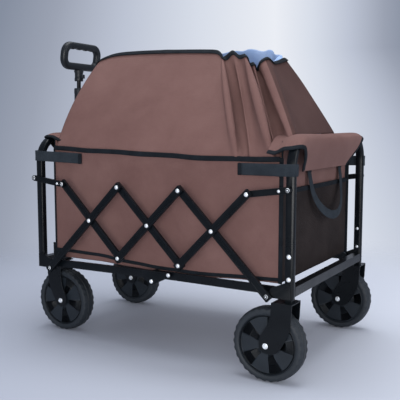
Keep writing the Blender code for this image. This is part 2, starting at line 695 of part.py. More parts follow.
def axle_bolt(x, y):
    """A bolt across the fork with a head and a nut outside the cheeks."""
    half = FORK_WIDTH / 2 + GAP
    tip = half + BOLT_HEAD_HEIGHT
    profile = [
        (0, -tip), (BOLT_HEAD_RADIUS * 0.8, -tip), (BOLT_HEAD_RADIUS, -tip + 0.001), (BOLT_HEAD_RADIUS, -half),
        (AXLE_RADIUS, -half), (AXLE_RADIUS, half), (BOLT_HEAD_RADIUS, half),
        (BOLT_HEAD_RADIUS, tip - 0.001), (BOLT_HEAD_RADIUS * 0.8, tip), (0, tip),
    ]
    return turned(profile, (x, y, AXLE_Z), (0, 1, 0), 12)


def tyre(name, body, x, y):
    inner = WHEEL_RADIUS - TYRE_DEPTH
    half = TYRE_WIDTH / 2
    rib = TREAD_RIB_WIDTH / 2
    shoulder = WHEEL_RADIUS - 0.0015
    profile = [
        (inner, -half + 0.004), (inner + 0.006, -half), (shoulder - 0.005, -half), (shoulder, -half + 0.003),
        (WHEEL_RADIUS, -rib), (WHEEL_RADIUS, rib), (shoulder, half - 0.003), (shoulder - 0.005, half),
        (inner + 0.006, half), (inner, half - 0.004),
    ]
    bm = turned(profile, (0, 0, 0), (0, 1, 0), WHEEL_SEGMENTS)
    for vert in bm.verts:
        radius = math.hypot(vert.co.x, vert.co.z)
        step = round(math.atan2(vert.co.z, vert.co.x) / math.tau * WHEEL_SEGMENTS)
        between_lugs = (step + (1 if vert.co.y > 0 else 0)) % 2
        if abs(abs(vert.co.y) - (half - 0.003)) < 1e-5 and radius > inner + 0.007 and between_lugs:
            vert.co.x *= (radius - TREAD_DEPTH) / radius
            vert.co.z *= (radius - TREAD_DEPTH) / radius
    bmesh.ops.translate(bm, verts=bm.verts[:], vec=(x, y, AXLE_Z))
    node(name, bm, body, TYRE_RUBBER)


def rim(name, body, x, y):
    """A moulded wheel centre with five blind pockets on each face between its spokes."""
    outer = WHEEL_RADIUS - TYRE_DEPTH - GAP
    half = RIM_WIDTH / 2
    hub = HUB_WIDTH / 2
    bore = AXLE_RADIUS + GAP
    profile = [
        (bore, -hub), (HUB_RADIUS, -hub), (HUB_RADIUS + 0.003, -half), (outer, -half),
        (outer, half), (HUB_RADIUS + 0.003, half), (HUB_RADIUS, hub), (bore, hub),
    ]
    made = node(name, turned(profile, (x, y, AXLE_Z), (0, 1, 0), WHEEL_SEGMENTS), body, BLACK_PLASTIC)
    pockets = []
    for number in range(SPOKES):
        middle = math.degrees(POCKET_TURN) + 360 * number / SPOKES
        spread = math.degrees(POCKET_SPREAD) / 2
        outline = arc((x, AXLE_Z), POCKET_OUTER_RADIUS, middle - spread, middle + spread, 3)
        outline += arc((x, AXLE_Z), POCKET_INNER_RADIUS, middle + spread, middle - spread, 1)
        for side in (-1, 1):
            web = y + side * POCKET_WEB / 2
            depth = side * (half + 0.002 - POCKET_WEB / 2)
            pockets.append(pulled(outline, [], lambda p: (p[0], web, p[1]), (0, depth, 0)))
    combine(made, join(*pockets), body, "DIFFERENCE")


def wheels():
    rear_x0 = POST_X + REAR_FORK_SETBACK - FORK_PLATE_LENGTH
    front_x0 = SWIVEL_X - FORK_PLATE_LENGTH / 2
    for side, sign in SIDES:
        rear_y = sign * POST_Y
        plate = (rear_x0, rear_x0 + FORK_PLATE_LENGTH)
        fork(f"rear_fork_{side}", "root", plate, FORK_TOP_Z, REAR_AXLE_X, rear_y, None)
        node(f"rear_axle_{side}", axle_bolt(REAR_AXLE_X, rear_y), "root", ZINC)
        front_y = sign * SWIVEL_Y
        plate = (front_x0, front_x0 + FORK_PLATE_LENGTH)
        fork(f"caster_fork_{side}", f"caster_{side}", plate, CASTER_TOP_Z, FRONT_AXLE_X, front_y, SWIVEL_X)
        node(f"caster_axle_{side}", axle_bolt(FRONT_AXLE_X, front_y), f"caster_{side}", ZINC)
        for end, x, y in (("rear", REAR_AXLE_X, rear_y), ("front", FRONT_AXLE_X, front_y)):
            tyre(f"{end}_tyre_{side}", f"{end}_wheel_{side}", x, y)
            rim(f"{end}_rim_{side}", f"{end}_wheel_{side}", x, y)


def caster_mounts():
    """Under the front crossbar: a square plate with a bearing race and the swivel's kingpin."""
    plate_z1 = CROSSBAR_Z0 - GAP
    plate_z0 = plate_z1 - FORK_SHEET
    race_z0 = CASTER_TOP_Z + GAP
    under = CASTER_TOP_Z - FORK_SHEET - GAP
    half = FORK_WIDTH / 2
    for side, sign in SIDES:
        y = sign * SWIVEL_Y
        plate = block(SWIVEL_X - half, SWIVEL_X + half, y - half, y + half, plate_z0, plate_z1)
        made = node(f"caster_mount_{side}", plate, "front_frame", BLACK_STEEL)
        profile = [
            (0, under - KINGPIN_HEAD_HEIGHT), (KINGPIN_HEAD_RADIUS, under - KINGPIN_HEAD_HEIGHT),
            (KINGPIN_HEAD_RADIUS, under), (AXLE_RADIUS, under), (AXLE_RADIUS, race_z0),
            (CASTER_RACE_RADIUS, race_z0), (CASTER_RACE_RADIUS, plate_z0 + WELD), (0, plate_z0 + WELD),
        ]
        combine(made, turned(profile, (SWIVEL_X, y, 0), (0, 0, 1), 16), "front_frame", "UNION")


def handle_cheek_y():
    return HANDLE_TUBE_RADIUS + GAP


def handle():
    """Bracket, tilting outer tube with its collar, and the sliding rod with its grip."""
    face = -POST_X - CROSSBAR_HALF - GAP
    inner = handle_cheek_y()
    outer = inner + HANDLE_CHEEK
    eye = (HANDLE_X, HANDLE_Z)
    foot = CROSSBAR_Z0 + 0.001
    outline = [(face, foot), (face, CROSSBAR_Z1)] + arc(eye, HANDLE_EYE_RADIUS, 80, 280, 8)
    cheeks = both_sides(side_plate(outline, inner, outer))
    base = block(
        face - HANDLE_CHEEK, face - WELD, -outer + WELD, outer - WELD, foot + WELD, CROSSBAR_Z1 - WELD
    )
    made = node("handle_bracket", base, "front_frame", BLACK_STEEL)
    combine(made, cheeks, "front_frame", "UNION")
    tip = outer + RIVET_BACK_HEIGHT
    pivot_pin = [
        (0, -tip), (RIVET_HEAD_RADIUS, -tip), (RIVET_HEAD_RADIUS, -outer + WELD),
        (RIVET_RADIUS, -outer + WELD), (RIVET_RADIUS, outer - WELD), (RIVET_HEAD_RADIUS, outer - WELD),
        (RIVET_HEAD_RADIUS, tip), (0, tip),
    ]
    combine(made, turned(pivot_pin, (HANDLE_X, 0, HANDLE_Z), (0, 1, 0), 10), "front_frame", "UNION")

    axis = Vector((math.sin(HANDLE_LEAN), 0, math.cos(HANDLE_LEAN)))
    origin = Vector((HANDLE_X, 0, HANDLE_Z))
    foot = -HANDLE_TUBE_RADIUS
    top = HANDLE_TUBE_LENGTH
    plug = 0.014
    profile = [
        (0, foot), (HANDLE_TUBE_RADIUS, foot), (HANDLE_TUBE_RADIUS, top), (HANDLE_BORE_RADIUS, top),
        (HANDLE_BORE_RADIUS, plug), (0, plug),
    ]
    tube = node("handle_outer_tube", turned(profile, origin, axis, 20), "handle", BLACK_STEEL)
    bore = RIVET_RADIUS + GAP
    reach = HANDLE_TUBE_RADIUS + 0.004
    cutter = turned([(0, -reach), (bore, -reach), (bore, reach), (0, reach)], origin, (0, 1, 0), 10)
    combine(tube, cutter, "handle", "DIFFERENCE")

    cap = 0.008
    low = top - HANDLE_COLLAR_HEIGHT
    collar = [
        (HANDLE_TUBE_RADIUS + GAP, low), (HANDLE_COLLAR_RADIUS, low),
        (HANDLE_COLLAR_RADIUS, top + cap - 0.002), (HANDLE_COLLAR_RADIUS - 0.002, top + cap),
        (HANDLE_ROD_RADIUS + GAP, top + cap), (HANDLE_ROD_RADIUS + GAP, top + GAP),
        (HANDLE_TUBE_RADIUS + GAP, top + GAP),
    ]
    node("handle_collar", turned(collar, origin, axis, 20), "handle", BLACK_PLASTIC)

    rod_foot = top - HANDLE_ROD_INSIDE
    neck = top + cap + HANDLE_ROD_SHOWN
    seat = neck + HANDLE_NECK_HEIGHT * 0.6
    piston = HANDLE_BORE_RADIUS - GAP
    rod = [
        (0, rod_foot), (piston, rod_foot), (piston, rod_foot + 0.020), (HANDLE_ROD_RADIUS, rod_foot + 0.022),
        (HANDLE_ROD_RADIUS, seat), (0, seat),
    ]
    node("handle_inner_tube", turned(rod, origin, axis, 16), "handle_rod", BLACK_STEEL)
    grip(origin, axis, neck, seat)


def grip(origin, axis, neck, seat):
    """A D-shaped loop across the wagon on a short neck."""
    turn = Vector((0, 0, 1)).rotation_difference(axis).to_matrix().to_4x4()
    to_place = Matrix.Translation(origin) @ turn
    base = neck + HANDLE_NECK_HEIGHT + GRIP_BAR / 2
    half_y = (GRIP_WIDTH - GRIP_BAR) / 2
    height = GRIP_HEIGHT - GRIP_BAR
    radius = GRIP_CORNER - GRIP_BAR / 2
    thick = GRIP_BAR / 2
    loops = []
    centreline = rounded_rectangle(half_y, height / 2, radius, 5)
    count = len(centreline)
    middle = base + height / 2
    bm = bmesh.new()
    for i in range(count):
        ahead = Vector(centreline[(i + 1) % count]) - Vector(centreline[i - 1])
        outward = Vector((ahead.y, -ahead.x)).normalized()
        y, z = centreline[i]
        section = []
        for angle in range(0, 360, 45):
            side = thick * 0.92 * math.cos(math.radians(angle))
            out = thick * math.sin(math.radians(angle))
            section.append((side, y + out * outward.x, middle + z + out * outward.y))
        loops.append(ring(bm, section))
    for i in range(count):
        bmesh.ops.bridge_loops(bm, edges=loops[i - 1] + loops[i])
    bmesh.ops.recalc_face_normals(bm, faces=bm.faces[:])
    bmesh.ops.transform(bm, matrix=to_place, verts=bm.verts[:])
    made = node("handle_grip", bm, "handle_rod", BLACK_PLASTIC)

    bore = HANDLE_ROD_RADIUS + GAP
    shoulder = neck + HANDLE_NECK_HEIGHT + 0.006
    profile = [
        (bore, neck), (HANDLE_NECK_RADIUS - 0.002, neck), (HANDLE_NECK_RADIUS, neck + 0.003),
        (HANDLE_NECK_RADIUS, shoulder), (0, shoulder), (0, seat + GAP), (bore, seat + GAP),
    ]
    stem = turned_closed(profile, origin, axis, 16)
    combine(made, stem, "handle_rod", "UNION")
    slot_z = neck + HANDLE_NECK_HEIGHT * 0.45
    half = BUTTON_SIZE / 2
    reach = HANDLE_NECK_RADIUS
    depth = 0.006
    slot = block(
        reach - depth, reach + 0.010, -half - GAP, half + GAP, slot_z - half - GAP, slot_z + half + GAP
    )
    bmesh.ops.transform(slot, matrix=to_place, verts=slot.verts[:])
    combine(made, slot, "handle_rod", "DIFFERENCE")
    travel = 0.004
    button = block(
        reach - depth + travel + GAP, reach + BUTTON_REACH, -half, half, slot_z - half, slot_z + half, 0.0015
    )
    bmesh.ops.transform(button, matrix=to_place, verts=button.verts[:])
    node("release_button", button, "button", BLACK_PLASTIC)


def turned_closed(profile, origin, axis, steps):
    """A turned solid whose profile starts and ends off the axis but touches it between."""
    bm = bmesh.new()
    verts = [bm.verts.new((radius, 0, along)) for radius, along in profile]
    edges = [bm.edges.new((verts[i - 1], verts[i])) for i in range(len(verts))]
    edges = [edge for edge in edges if not (edge.verts[0].co.x == 0 and edge.verts[1].co.x == 0)]
    bmesh.ops.spin(
        bm, geom=verts + edges, cent=(0, 0, 0), axis=(0, 0, 1), dvec=(0, 0, 0),
        angle=math.tau, steps=steps, use_merge=True, use_duplicate=False,
    )
    loose = [edge for edge in bm.edges if not edge.link_faces]
    bmesh.ops.delete(bm, geom=loose, context="EDGES")
    bmesh.ops.remove_doubles(bm, verts=bm.verts[:], dist=1e-6)
    bmesh.ops.recalc_face_normals(bm, faces=bm.faces[:])
    turn = Vector((0, 0, 1)).rotation_difference(Vector(axis)).to_matrix().to_4x4()
    bmesh.ops.transform(bm, matrix=Matrix.Translation(origin) @ turn, verts=bm.verts[:])
    return bm


def rim_height(x):
    """Top of the side panels, which drops a little towards the rear."""
    share = (x + TUB_LENGTH / 2) / TUB_LENGTH
    return FLOOR_Z0 + TUB_FRONT_HEIGHT + (TUB_REAR_HEIGHT - TUB_FRONT_HEIGHT) * share


def tub():
    half_x = TUB_LENGTH / 2
    half_y = TUB_WIDTH / 2
    floor = block(
        -half_x + CLOTH + GAP, half_x - CLOTH - GAP, -half_y + CLOTH + GAP, half_y - CLOTH - GAP,
        FLOOR_Z0, FLOOR_Z1,
    )
    node("floor_panel", floor, "root", BROWN_CLOTH)
    for side, sign in (("near", 1), ("far", -1)):
        outline = [
            (-half_x, FLOOR_Z0), (half_x, FLOOR_Z0), (half_x, rim_height(half_x)),
            (-half_x, rim_height(-half_x)),
        ]
        panel = side_plate(outline, sign * half_y, sign * (half_y - CLOTH))
        node(f"side_panel_{side}", panel, "root", BROWN_CLOTH)
    inner = half_y - CLOTH - GAP
    for end, body, x0, x1 in (
        ("rear", "root", half_x - CLOTH, half_x), ("front", "front_frame", -half_x, CLOTH - half_x)
    ):
        top = FLOOR_Z0 + END_PANEL_HEIGHT
        panel = block(x0, x1, -inner, inner, FLOOR_Z0, top)
        node(f"{end}_end_panel", panel, body, BROWN_CLOTH)


def flap_profile():
    """The flap's section over the rear rail as (x, z), outer side first, then back along the inner."""
    rail_in = POST_X - TUBE_WIDTH / 2
    rail_out = POST_X + TUBE_WIDTH / 2
    top = RAIL_TOP_Z + GAP
    outer_x = rail_out + FLAP_OUTER_REACH
    hem_z = top - FLAP_DROP
    turn_x = rail_out - TUBE_ROUND * 0.4
    turn_z = top - TUBE_ROUND
    below = top - TUBE_DEPTH - 0.004
    inner = [
        (POST_X - FLAP_INNER_REACH, top), (rail_in, top), (turn_x, top),
        (outer_x, turn_z), (outer_x, below), (outer_x - FLAP_TUCK, hem_z),
    ]
    outer = [
        (POST_X - FLAP_INNER_REACH, top + CLOTH), (rail_in, top + CLOTH), (turn_x, top + CLOTH),
        (outer_x + CLOTH, turn_z + 0.001), (outer_x + CLOTH, below - 0.001),
        (outer_x + CLOTH - FLAP_TUCK, hem_z - 0.001),
    ]
    return inner, outer


def flap(name, body, sign):
    """Cloth folded over an end rail, cut away round at both corners."""
    inner, outer = flap_profile()
    top = RAIL_TOP_Z + GAP
    hem_z = top - FLAP_DROP
    bm = bmesh.new()
    rows = []
    steps = 12
    for ix, iz in inner + outer[::-1]:
        share = min(max((top - 0.006 - iz) / (top - 0.006 - hem_z), 0.0), 1.0)
        ease = 1 - (1 - share) ** 2.5
        half = (FLAP_TOP_WIDTH + (FLAP_HEM_WIDTH - FLAP_TOP_WIDTH) * ease) / 2
        rows.append([bm.verts.new((sign * ix, -half + 2 * half * i / steps, iz)) for i in range(steps + 1)])
    count = len(rows)
    for r in range(count):
        near, far = rows[r - 1], rows[r]
        for i in range(steps):
            bm.faces.new((near[i], near[i + 1], far[i + 1], far[i]))
    half_count = count // 2
    for i in (0, steps):
        for r in range(half_count - 1):
            bm.faces.new((rows[r][i], rows[r + 1][i], rows[count - 2 - r][i], rows[count - 1 - r][i]))
    node(name, bm, body, BROWN_CLOTH)


def skirt_plan(level):
    """Points in plan round the extension, level 0 at its base and 1 at its top edge."""
    base_x, base_y = SKIRT_BASE_LENGTH / 2, TUB_WIDTH / 2
    top_x, top_y = SKIRT_TOP_LENGTH / 2, SKIRT_TOP_WIDTH / 2
    radius = SKIRT_BASE_CORNER + (SKIRT_TOP_CORNER - SKIRT_BASE_CORNER) * level
    run_x = base_x + (top_x - base_x) * level - radius
    run_y = base_y + (top_y - base_y) * level - radius
    shift = SKIRT_TOP_SHIFT * level
    corners = ((1, -1, 270, 5, 6), (1, 1, 0, 3, 10), (-1, 1, 90, 3, 6), (-1, -1, 180, 3, 18))
    points = []
    for number, (sign_x, sign_y, start, corner_steps, side_steps) in enumerate(corners):
        points += arc((shift + sign_x * run_x, sign_y * run_y), radius, start, start + 90, corner_steps)
        next_x, next_y, next_start = corners[(number + 1) % 4][:3]
        centre = (shift + next_x * run_x, next_y * run_y)
        first, last = Vector(points[-1]), Vector(arc(centre, radius, next_start, next_start + 90, 1)[0])
        points += [tuple(first.lerp(last, i / side_steps)) for i in range(1, side_steps)]
    return points


def skirt_ring(level, inset):
    """The plan lifted to its height, bulged along the sides and gathered in pleats at the rear."""
    end_base = RAIL_TOP_Z + CLOTH + 2 * GAP
    top_z = FLOOR_Z0 + TUB_FRONT_HEIGHT + SKIRT_HEIGHT
    bulge = SKIRT_BULGE * math.sin(math.pi * min(level, 1.0))
    result = []
    for x, y in skirt_plan(level):
        to_side = side_weight(x, y, level)
        foot = end_base + (rim_height(x) + GAP - end_base) * to_side
        rear = min(max((x - DIP_START) / DIP_RUN, 0.0), 1.0)
        near = min(max(0.5 - y / SKIRT_TOP_WIDTH, 0.0), 1.0)
        crest = top_z - SKIRT_REAR_DIP * rear * rear * (0.3 + 0.7 * near)
        out_x = math.copysign(bulge * 0.6 * (1 - to_side), x)
        out_y = math.copysign(bulge * to_side, y)
        if y < 0 and x > PLEAT_START:
            share = (x - PLEAT_START) / (PLEAT_RUN + (SKIRT_TOP_LENGTH - SKIRT_BASE_LENGTH) / 2 * level)
            fade = min(1.0, PLEATS * share) * (0.35 + 0.65 * level)
            out_y += PLEAT_DEPTH * (1 - math.cos(share * PLEATS * math.tau)) / 2 * fade * to_side
        result.append(Vector((x + out_x, y + out_y, foot + (crest - foot) * level)))
    inwards = []
    for i in range(len(result)):
        along = result[(i + 1) % len(result)] - result[i - 1]
        inwards.append(Vector((-along.y, along.x, 0)).normalized() * inset)
    return [point + step for point, step in zip(result, inwards)]


def side_weight(x, y, level):
    """1 along the long sides, 0 along the ends, blending round the corners."""
    half_x = SKIRT_BASE_LENGTH / 2 + (SKIRT_TOP_LENGTH - SKIRT_BASE_LENGTH) / 2 * level
    half_y = TUB_WIDTH / 2 + (SKIRT_TOP_WIDTH - TUB_WIDTH) / 2 * level
    gap_x = half_x - abs(x - SKIRT_TOP_SHIFT * level)
    gap_y = half_y - abs(y)
    share = min(max(0.35 + (gap_x - gap_y) / CORNER_BLEND, 0.0), 1.0)
    return share * share * (3 - 2 * share)


def skin(bm, rows):
    """Triangles between one closed row of vertices and the next, each quad split the same way."""
    for lower, upper in zip(rows, rows[1:]):
        for i in range(len(lower)):
            j = (i + 1) % len(lower)
            bm.faces.new((lower[i], lower[j], upper[j]))
            bm.faces.new((lower[i], upper[j], upper[i]))


def cloth_shell(name, levels, inset, thickness, look):
    """A standing tube of cloth with an outside, an inside and a hem along each edge."""
    bm = bmesh.new()
    outside = [[bm.verts.new(point) for point in skirt_ring(level, inset)] for level in levels]
    inside = [[bm.verts.new(point) for point in skirt_ring(level, inset + thickness)] for level in levels]
    skin(bm, outside)
    skin(bm, inside)
    skin(bm, [outside[0], inside[0]])
    skin(bm, [outside[-1], inside[-1]])
    return node(name, bm, "root", look)


def extension():
    levels = [number / (SKIRT_LEVELS - 1) for number in range(SKIRT_LEVELS)]
    cloth_shell("extension_skirt", levels, 0.0, CLOTH, BROWN_CLOTH)
    lining_levels = [LINING_FOOT / SKIRT_HEIGHT] + levels[1:] + [1.0 + LINING_RISE / SKIRT_HEIGHT]
    cloth_shell("skirt_lining", lining_levels, CLOTH + LINING_GAP, LINING, BLUE_LINING)


def rear_trim():
    half_y = TUB_WIDTH / 2
    face = TUB_LENGTH / 2 + GAP
    top = FLOOR_Z0 + END_PANEL_HEIGHT
    pocket = block(
        face, face + POCKET_THICKNESS, -half_y + 0.004, half_y - 0.004, FLOOR_Z0 + 0.004, top - POCKET_TOP_DROP,
        0.001,
    )
    node("rear_pocket", pocket, "root", BLACK_MESH)

    seat_x = face + STRAP_THICKNESS / 2
    over_pocket = POCKET_THICKNESS + GAP
    steps = 16
    path = []
    for i in range(steps + 1):
        angle = math.pi * i / steps
        hang = math.sin(angle) ** 0.8
        out = LOOP_BULGE * hang ** 2 + (over_pocket if 0 < i < steps else 0)
        path.append(Vector((seat_x + out, -LOOP_SPAN / 2 * math.cos(angle), -LOOP_DEPTH * hang)))
    bm = bmesh.new()
    loop_top = RAIL_TOP_Z - FLAP_DROP - 0.004
    loops = []
    for i, point in enumerate(path):
        ahead = path[min(i + 1, steps)] - path[max(i - 1, 0)]
        across = Vector((1, 0, 0)).cross(ahead).normalized()
        out = ahead.cross(across).normalized()
        centre = point + Vector((0, 0, loop_top))
        a, b = across * LOOP_WIDTH / 2, out * STRAP_THICKNESS / 2
        loops.append(ring(bm, [centre + a + b, centre - a + b, centre - a - b, centre + a - b]))
    for lower, upper in zip(loops, loops[1:]):
        bmesh.ops.bridge_loops(bm, edges=lower + upper)
    bmesh.ops.contextual_create(bm, geom=loops[0])
    bmesh.ops.contextual_create(bm, geom=loops[-1])
    node("carry_loop", bm, "root", WEBBING)


def corner_straps():
    """A webbing strap from the side panel round the outside of each post."""
    panel_y = TUB_WIDTH / 2 + GAP
    post_y = POST_OUTER_Y + GAP
    back_y = POST_Y - TUBE_DEPTH / 2 - GAP
    half = TUBE_WIDTH / 2 + GAP
    tail = POST_X - STRAP_TAIL
    t = STRAP_THICKNESS
    bend = 0.004
    outer = [
        (tail, panel_y + t), (POST_X - half - bend, post_y + t), (POST_X + half, post_y + t),
        (POST_X + half + t, post_y), (POST_X + half + t, back_y),
    ]
    inner = [(POST_X + half, back_y), (POST_X + half, post_y), (POST_X - half, post_y), (tail, panel_y)]
    for end, body, x_sign in (("rear", "root", 1), ("front", "front_frame", -1)):
        top = rim_height(x_sign * TUB_LENGTH / 2) - STRAP_TOP_GAP
        outline = [(x_sign * x, -y) for x, y in outer + inner]
        for side, sign in SIDES:
            strap = level_plate(outline, top - STRAP_WIDTH, top)
            node(f"{end}_corner_strap_{side}", to_side(strap, sign), body, WEBBING)


def main():
    for existing in list(bpy.data.objects):
        bpy.data.objects.remove(existing, do_unlink=True)
    add_bodies()
    end_frames()
    scissor()
    bottom_rails()
    wheels()
    caster_mounts()
    handle()
    tub()
    flap("rear_flap", "root", 1)
    flap("front_flap", "front_frame", -1)
    extension()
    rear_trim()
    corner_straps()


main()
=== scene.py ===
from math import atan2, copysign, cos, degrees, exp, hypot, pi, radians, sin, sqrt, tau

import bmesh
import bpy
from mathutils import Matrix, Vector, noise


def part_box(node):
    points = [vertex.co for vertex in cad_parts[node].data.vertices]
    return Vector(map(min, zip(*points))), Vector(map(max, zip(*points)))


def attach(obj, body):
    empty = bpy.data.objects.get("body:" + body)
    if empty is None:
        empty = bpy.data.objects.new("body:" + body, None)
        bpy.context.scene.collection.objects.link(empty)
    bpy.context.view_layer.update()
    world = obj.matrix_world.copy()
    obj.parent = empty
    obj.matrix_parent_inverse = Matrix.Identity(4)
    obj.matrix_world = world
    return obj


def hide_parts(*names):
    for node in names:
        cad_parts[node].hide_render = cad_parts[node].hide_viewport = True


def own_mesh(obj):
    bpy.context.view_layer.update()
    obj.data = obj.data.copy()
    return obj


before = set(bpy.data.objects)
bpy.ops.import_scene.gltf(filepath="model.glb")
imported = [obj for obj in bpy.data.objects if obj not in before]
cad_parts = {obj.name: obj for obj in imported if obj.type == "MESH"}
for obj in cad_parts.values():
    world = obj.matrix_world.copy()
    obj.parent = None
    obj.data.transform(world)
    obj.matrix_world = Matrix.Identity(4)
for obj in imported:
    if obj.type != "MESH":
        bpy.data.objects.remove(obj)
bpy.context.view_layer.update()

# The wagon is drawn with X counted from the middle between its end frames, then moved into the row frame.
panel_low, panel_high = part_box("side_panel_near")
MIDDLE = (panel_low.x + panel_high.x) / 2
TO_FRAME = Matrix.Translation((MIDDLE, 0, 0))
SIDES = (("near", -1), ("far", 1))
ENDS = (("rear", "root", 1), ("front", "front_frame", -1))


def mm(*rows):
    """Rows of numbers stated in millimetres."""
    return [tuple(value / 1000 for value in row) for row in rows]


# Sizes that the CAD nodes share, in metres
POST_X = 0.423
RAIL_TOP = 0.64
FLOOR_BASE = 0.2556
TUB_X, TUB_Y = 0.385, 0.262
RIM_FRONT, RIM_REAR = 0.6036, 0.5846
POST_FACE, LAYER_INNER, LAYER_OUTER = 0.2932, 0.3072, 0.3159

# Thicknesses of the cloth and of its sewn tapes
CLOTH, TAPE, THIN_TAPE = 0.0022, 0.0026, 0.0018


# -------- materials
def node_group(name, inputs, outputs):
    """An empty shader group that reads a place; inputs are (name, kind, default), outputs (name, kind)."""
    tree = bpy.data.node_groups.new(name, "ShaderNodeTree")
    tree.interface.new_socket(name="Vector", in_out="INPUT", socket_type="NodeSocketVector")
    for label, kind, default in inputs:
        socket = tree.interface.new_socket(name=label, in_out="INPUT", socket_type="NodeSocket" + kind)
        socket.default_value = default
    for label, kind in outputs:
        tree.interface.new_socket(name=label, in_out="OUTPUT", socket_type="NodeSocket" + kind)
    return tree, tree.nodes.new("NodeGroupInput").outputs, tree.nodes.new("NodeGroupOutput").inputs


def feed(tree, socket, value):
    """A number, a colour, a direction or a link for one socket."""
    if isinstance(value, (int, float)):
        socket.default_value = value
    elif isinstance(value, (tuple, Vector)):
        socket.default_value = (*value, 1.0) if socket.type == "RGBA" else value
    else:
        tree.links.new(value, socket)


def put(tree, kind, sockets=None, **settings):
    """The outputs of a new shader node, with its settings and what its sockets are given."""
    made = tree.nodes.new("ShaderNode" + kind)
    for key, value in settings.items():
        setattr(made, key, value)
    for key, value in (sockets or {}).items():
        feed(tree, made.inputs[key], value)
    return made.outputs


def math_node(tree, operation, *values, clamp=False):
    sockets = dict(enumerate(values))
    return put(tree, "Math", sockets, operation=operation, use_clamp=clamp)[0]


def mix_colour(tree, amount, first, second):
    sockets = {0: amount, 6: first, 7: second}
    return put(tree, "Mix", sockets, data_type="RGBA", clamp_factor=True)[2]


def map_range(tree, value, low, high, to_low=0.0, to_high=1.0, **settings):
    sockets = dict(enumerate((value, low, high, to_low, to_high)))
    return put(tree, "MapRange", sockets, **settings)[0]


def noise_node(tree, vector, scale, detail, roughness=0.5):
    sockets = {"Vector": vector, "Scale": scale, "Detail": detail, "Roughness": roughness}
    return put(tree, "TexNoise", sockets)[0]


def weave_group():
    """Plain weave from crossing threads; reads metres and gives a height from 0 to 1."""
    tree, entry, leave = node_group("plain_weave", [("Threads per metre", "Float", 900.0)], [("Height", "Float")])
    parts = put(tree, "SeparateXYZ", {0: entry["Vector"]})
    turn = math_node(tree, "MULTIPLY", entry["Threads per metre"], pi)
    waves = [math_node(tree, "SINE", math_node(tree, "MULTIPLY", part, turn)) for part in parts]
    crossings = [math_node(tree, "MULTIPLY", waves[a], waves[b]) for a, b in ((0, 2), (1, 2), (0, 1))]
    total = math_node(tree, "ADD", math_node(tree, "ADD", crossings[0], crossings[1]), crossings[2])
    tree.links.new(math_node(tree, "MULTIPLY_ADD", total, 0.35, 0.5), leave["Height"])
    return tree


def grain_group():
    """Fine moulded or sprayed texture as a height."""
    tree, entry, leave = node_group("fine_grain", [("Grains per metre", "Float", 900.0)], [("Height", "Float")])
    speckle = noise_node(tree, entry["Vector"], entry["Grains per metre"], 3.0, 0.6)
    tree.links.new(speckle, leave["Height"])
    return tree


def fade_group():
    """Uneven dye or dust: two scales of noise that lighten and darken a colour."""
    tree, entry, leave = node_group(
        "uneven_colour",
        [
            ("Colour", "Color", (0.5, 0.5, 0.5, 1.0)), ("Light", "Color", (0.6, 0.6, 0.6, 1.0)),
            ("Patches per metre", "Float", 8.0), ("Fleck amount", "Float", 0.2),
        ],
        [("Colour", "Color"), ("Mask", "Float")],
    )
    patches = entry["Patches per metre"]
    broad = noise_node(tree, entry["Vector"], patches, 4.0, 0.62)
    fleck = noise_node(tree, entry["Vector"], math_node(tree, "MULTIPLY", patches, 45.0), 2.0)
    flecks = math_node(tree, "MULTIPLY", math_node(tree, "SUBTRACT", fleck, 0.5), entry["Fleck amount"])
    spread = map_range(tree, broad, 0.32, 0.72)
    mask = math_node(tree, "ADD", spread, math_node(tree, "MULTIPLY", flecks, 3.0), clamp=True)
    tree.links.new(mix_colour(tree, mask, entry["Colour"], entry["Light"]), leave["Colour"])
    tree.links.new(mask, leave["Mask"])
    return tree


def wear_and_highlight_group():
    """Rubbed edges with a painted highlight: where the bevelled normal turns away from the true one, broken up by
    noise; the lighter edge colour is partly wear and partly painted highlight.
    """
    tree, entry, leave = node_group("edge_wear_and_painted_highlight", [("Amount", "Float", 1.0)], [("Mask", "Float")])
    rounded = put(tree, "Bevel", {"Radius": 0.0016}, samples=4)[0]
    true_normal = put(tree, "NewGeometry")["Normal"]
    alike = put(tree, "VectorMath", {0: rounded, 1: true_normal}, operation="DOT_PRODUCT")
    edge = map_range(tree, alike["Value"], 1.0, 0.9)
    broken = map_range(tree, noise_node(tree, entry["Vector"], 60.0, 4.0), 0.3, 0.62, 0.25)
    mask = math_node(tree, "MULTIPLY", edge, broken)
    tree.links.new(math_node(tree, "MULTIPLY", mask, entry["Amount"], clamp=True), leave["Mask"])
    return tree


WEAVE, GRAIN, UNEVEN, WEAR_AND_HIGHLIGHT = weave_group(), grain_group(), fade_group(), wear_and_highlight_group()


def blank_material(name, **sockets):
    look = bpy.data.materials.new(name)
    look.use_nodes = True
    tree = look.node_tree
    shader = tree.nodes["Principled BSDF"]
    for label, value in sockets.items():
        feed(tree, shader.inputs[label.replace("_", " ")], value)
    return look, tree, shader, put(tree, "TexCoord")["Object"]


def grouped(tree, group, place, **values):
    sockets = {label.replace("_", " "): value for label, value in values.items()}
    return put(tree, "Group", {"Vector": place, **sockets}, node_tree=group)


def bump(tree, shader, height, distance, strength):
    made = put(tree, "Bump", {"Strength": strength, "Distance": distance, "Height": height})
    tree.links.new(made[0], shader.inputs["Normal"])


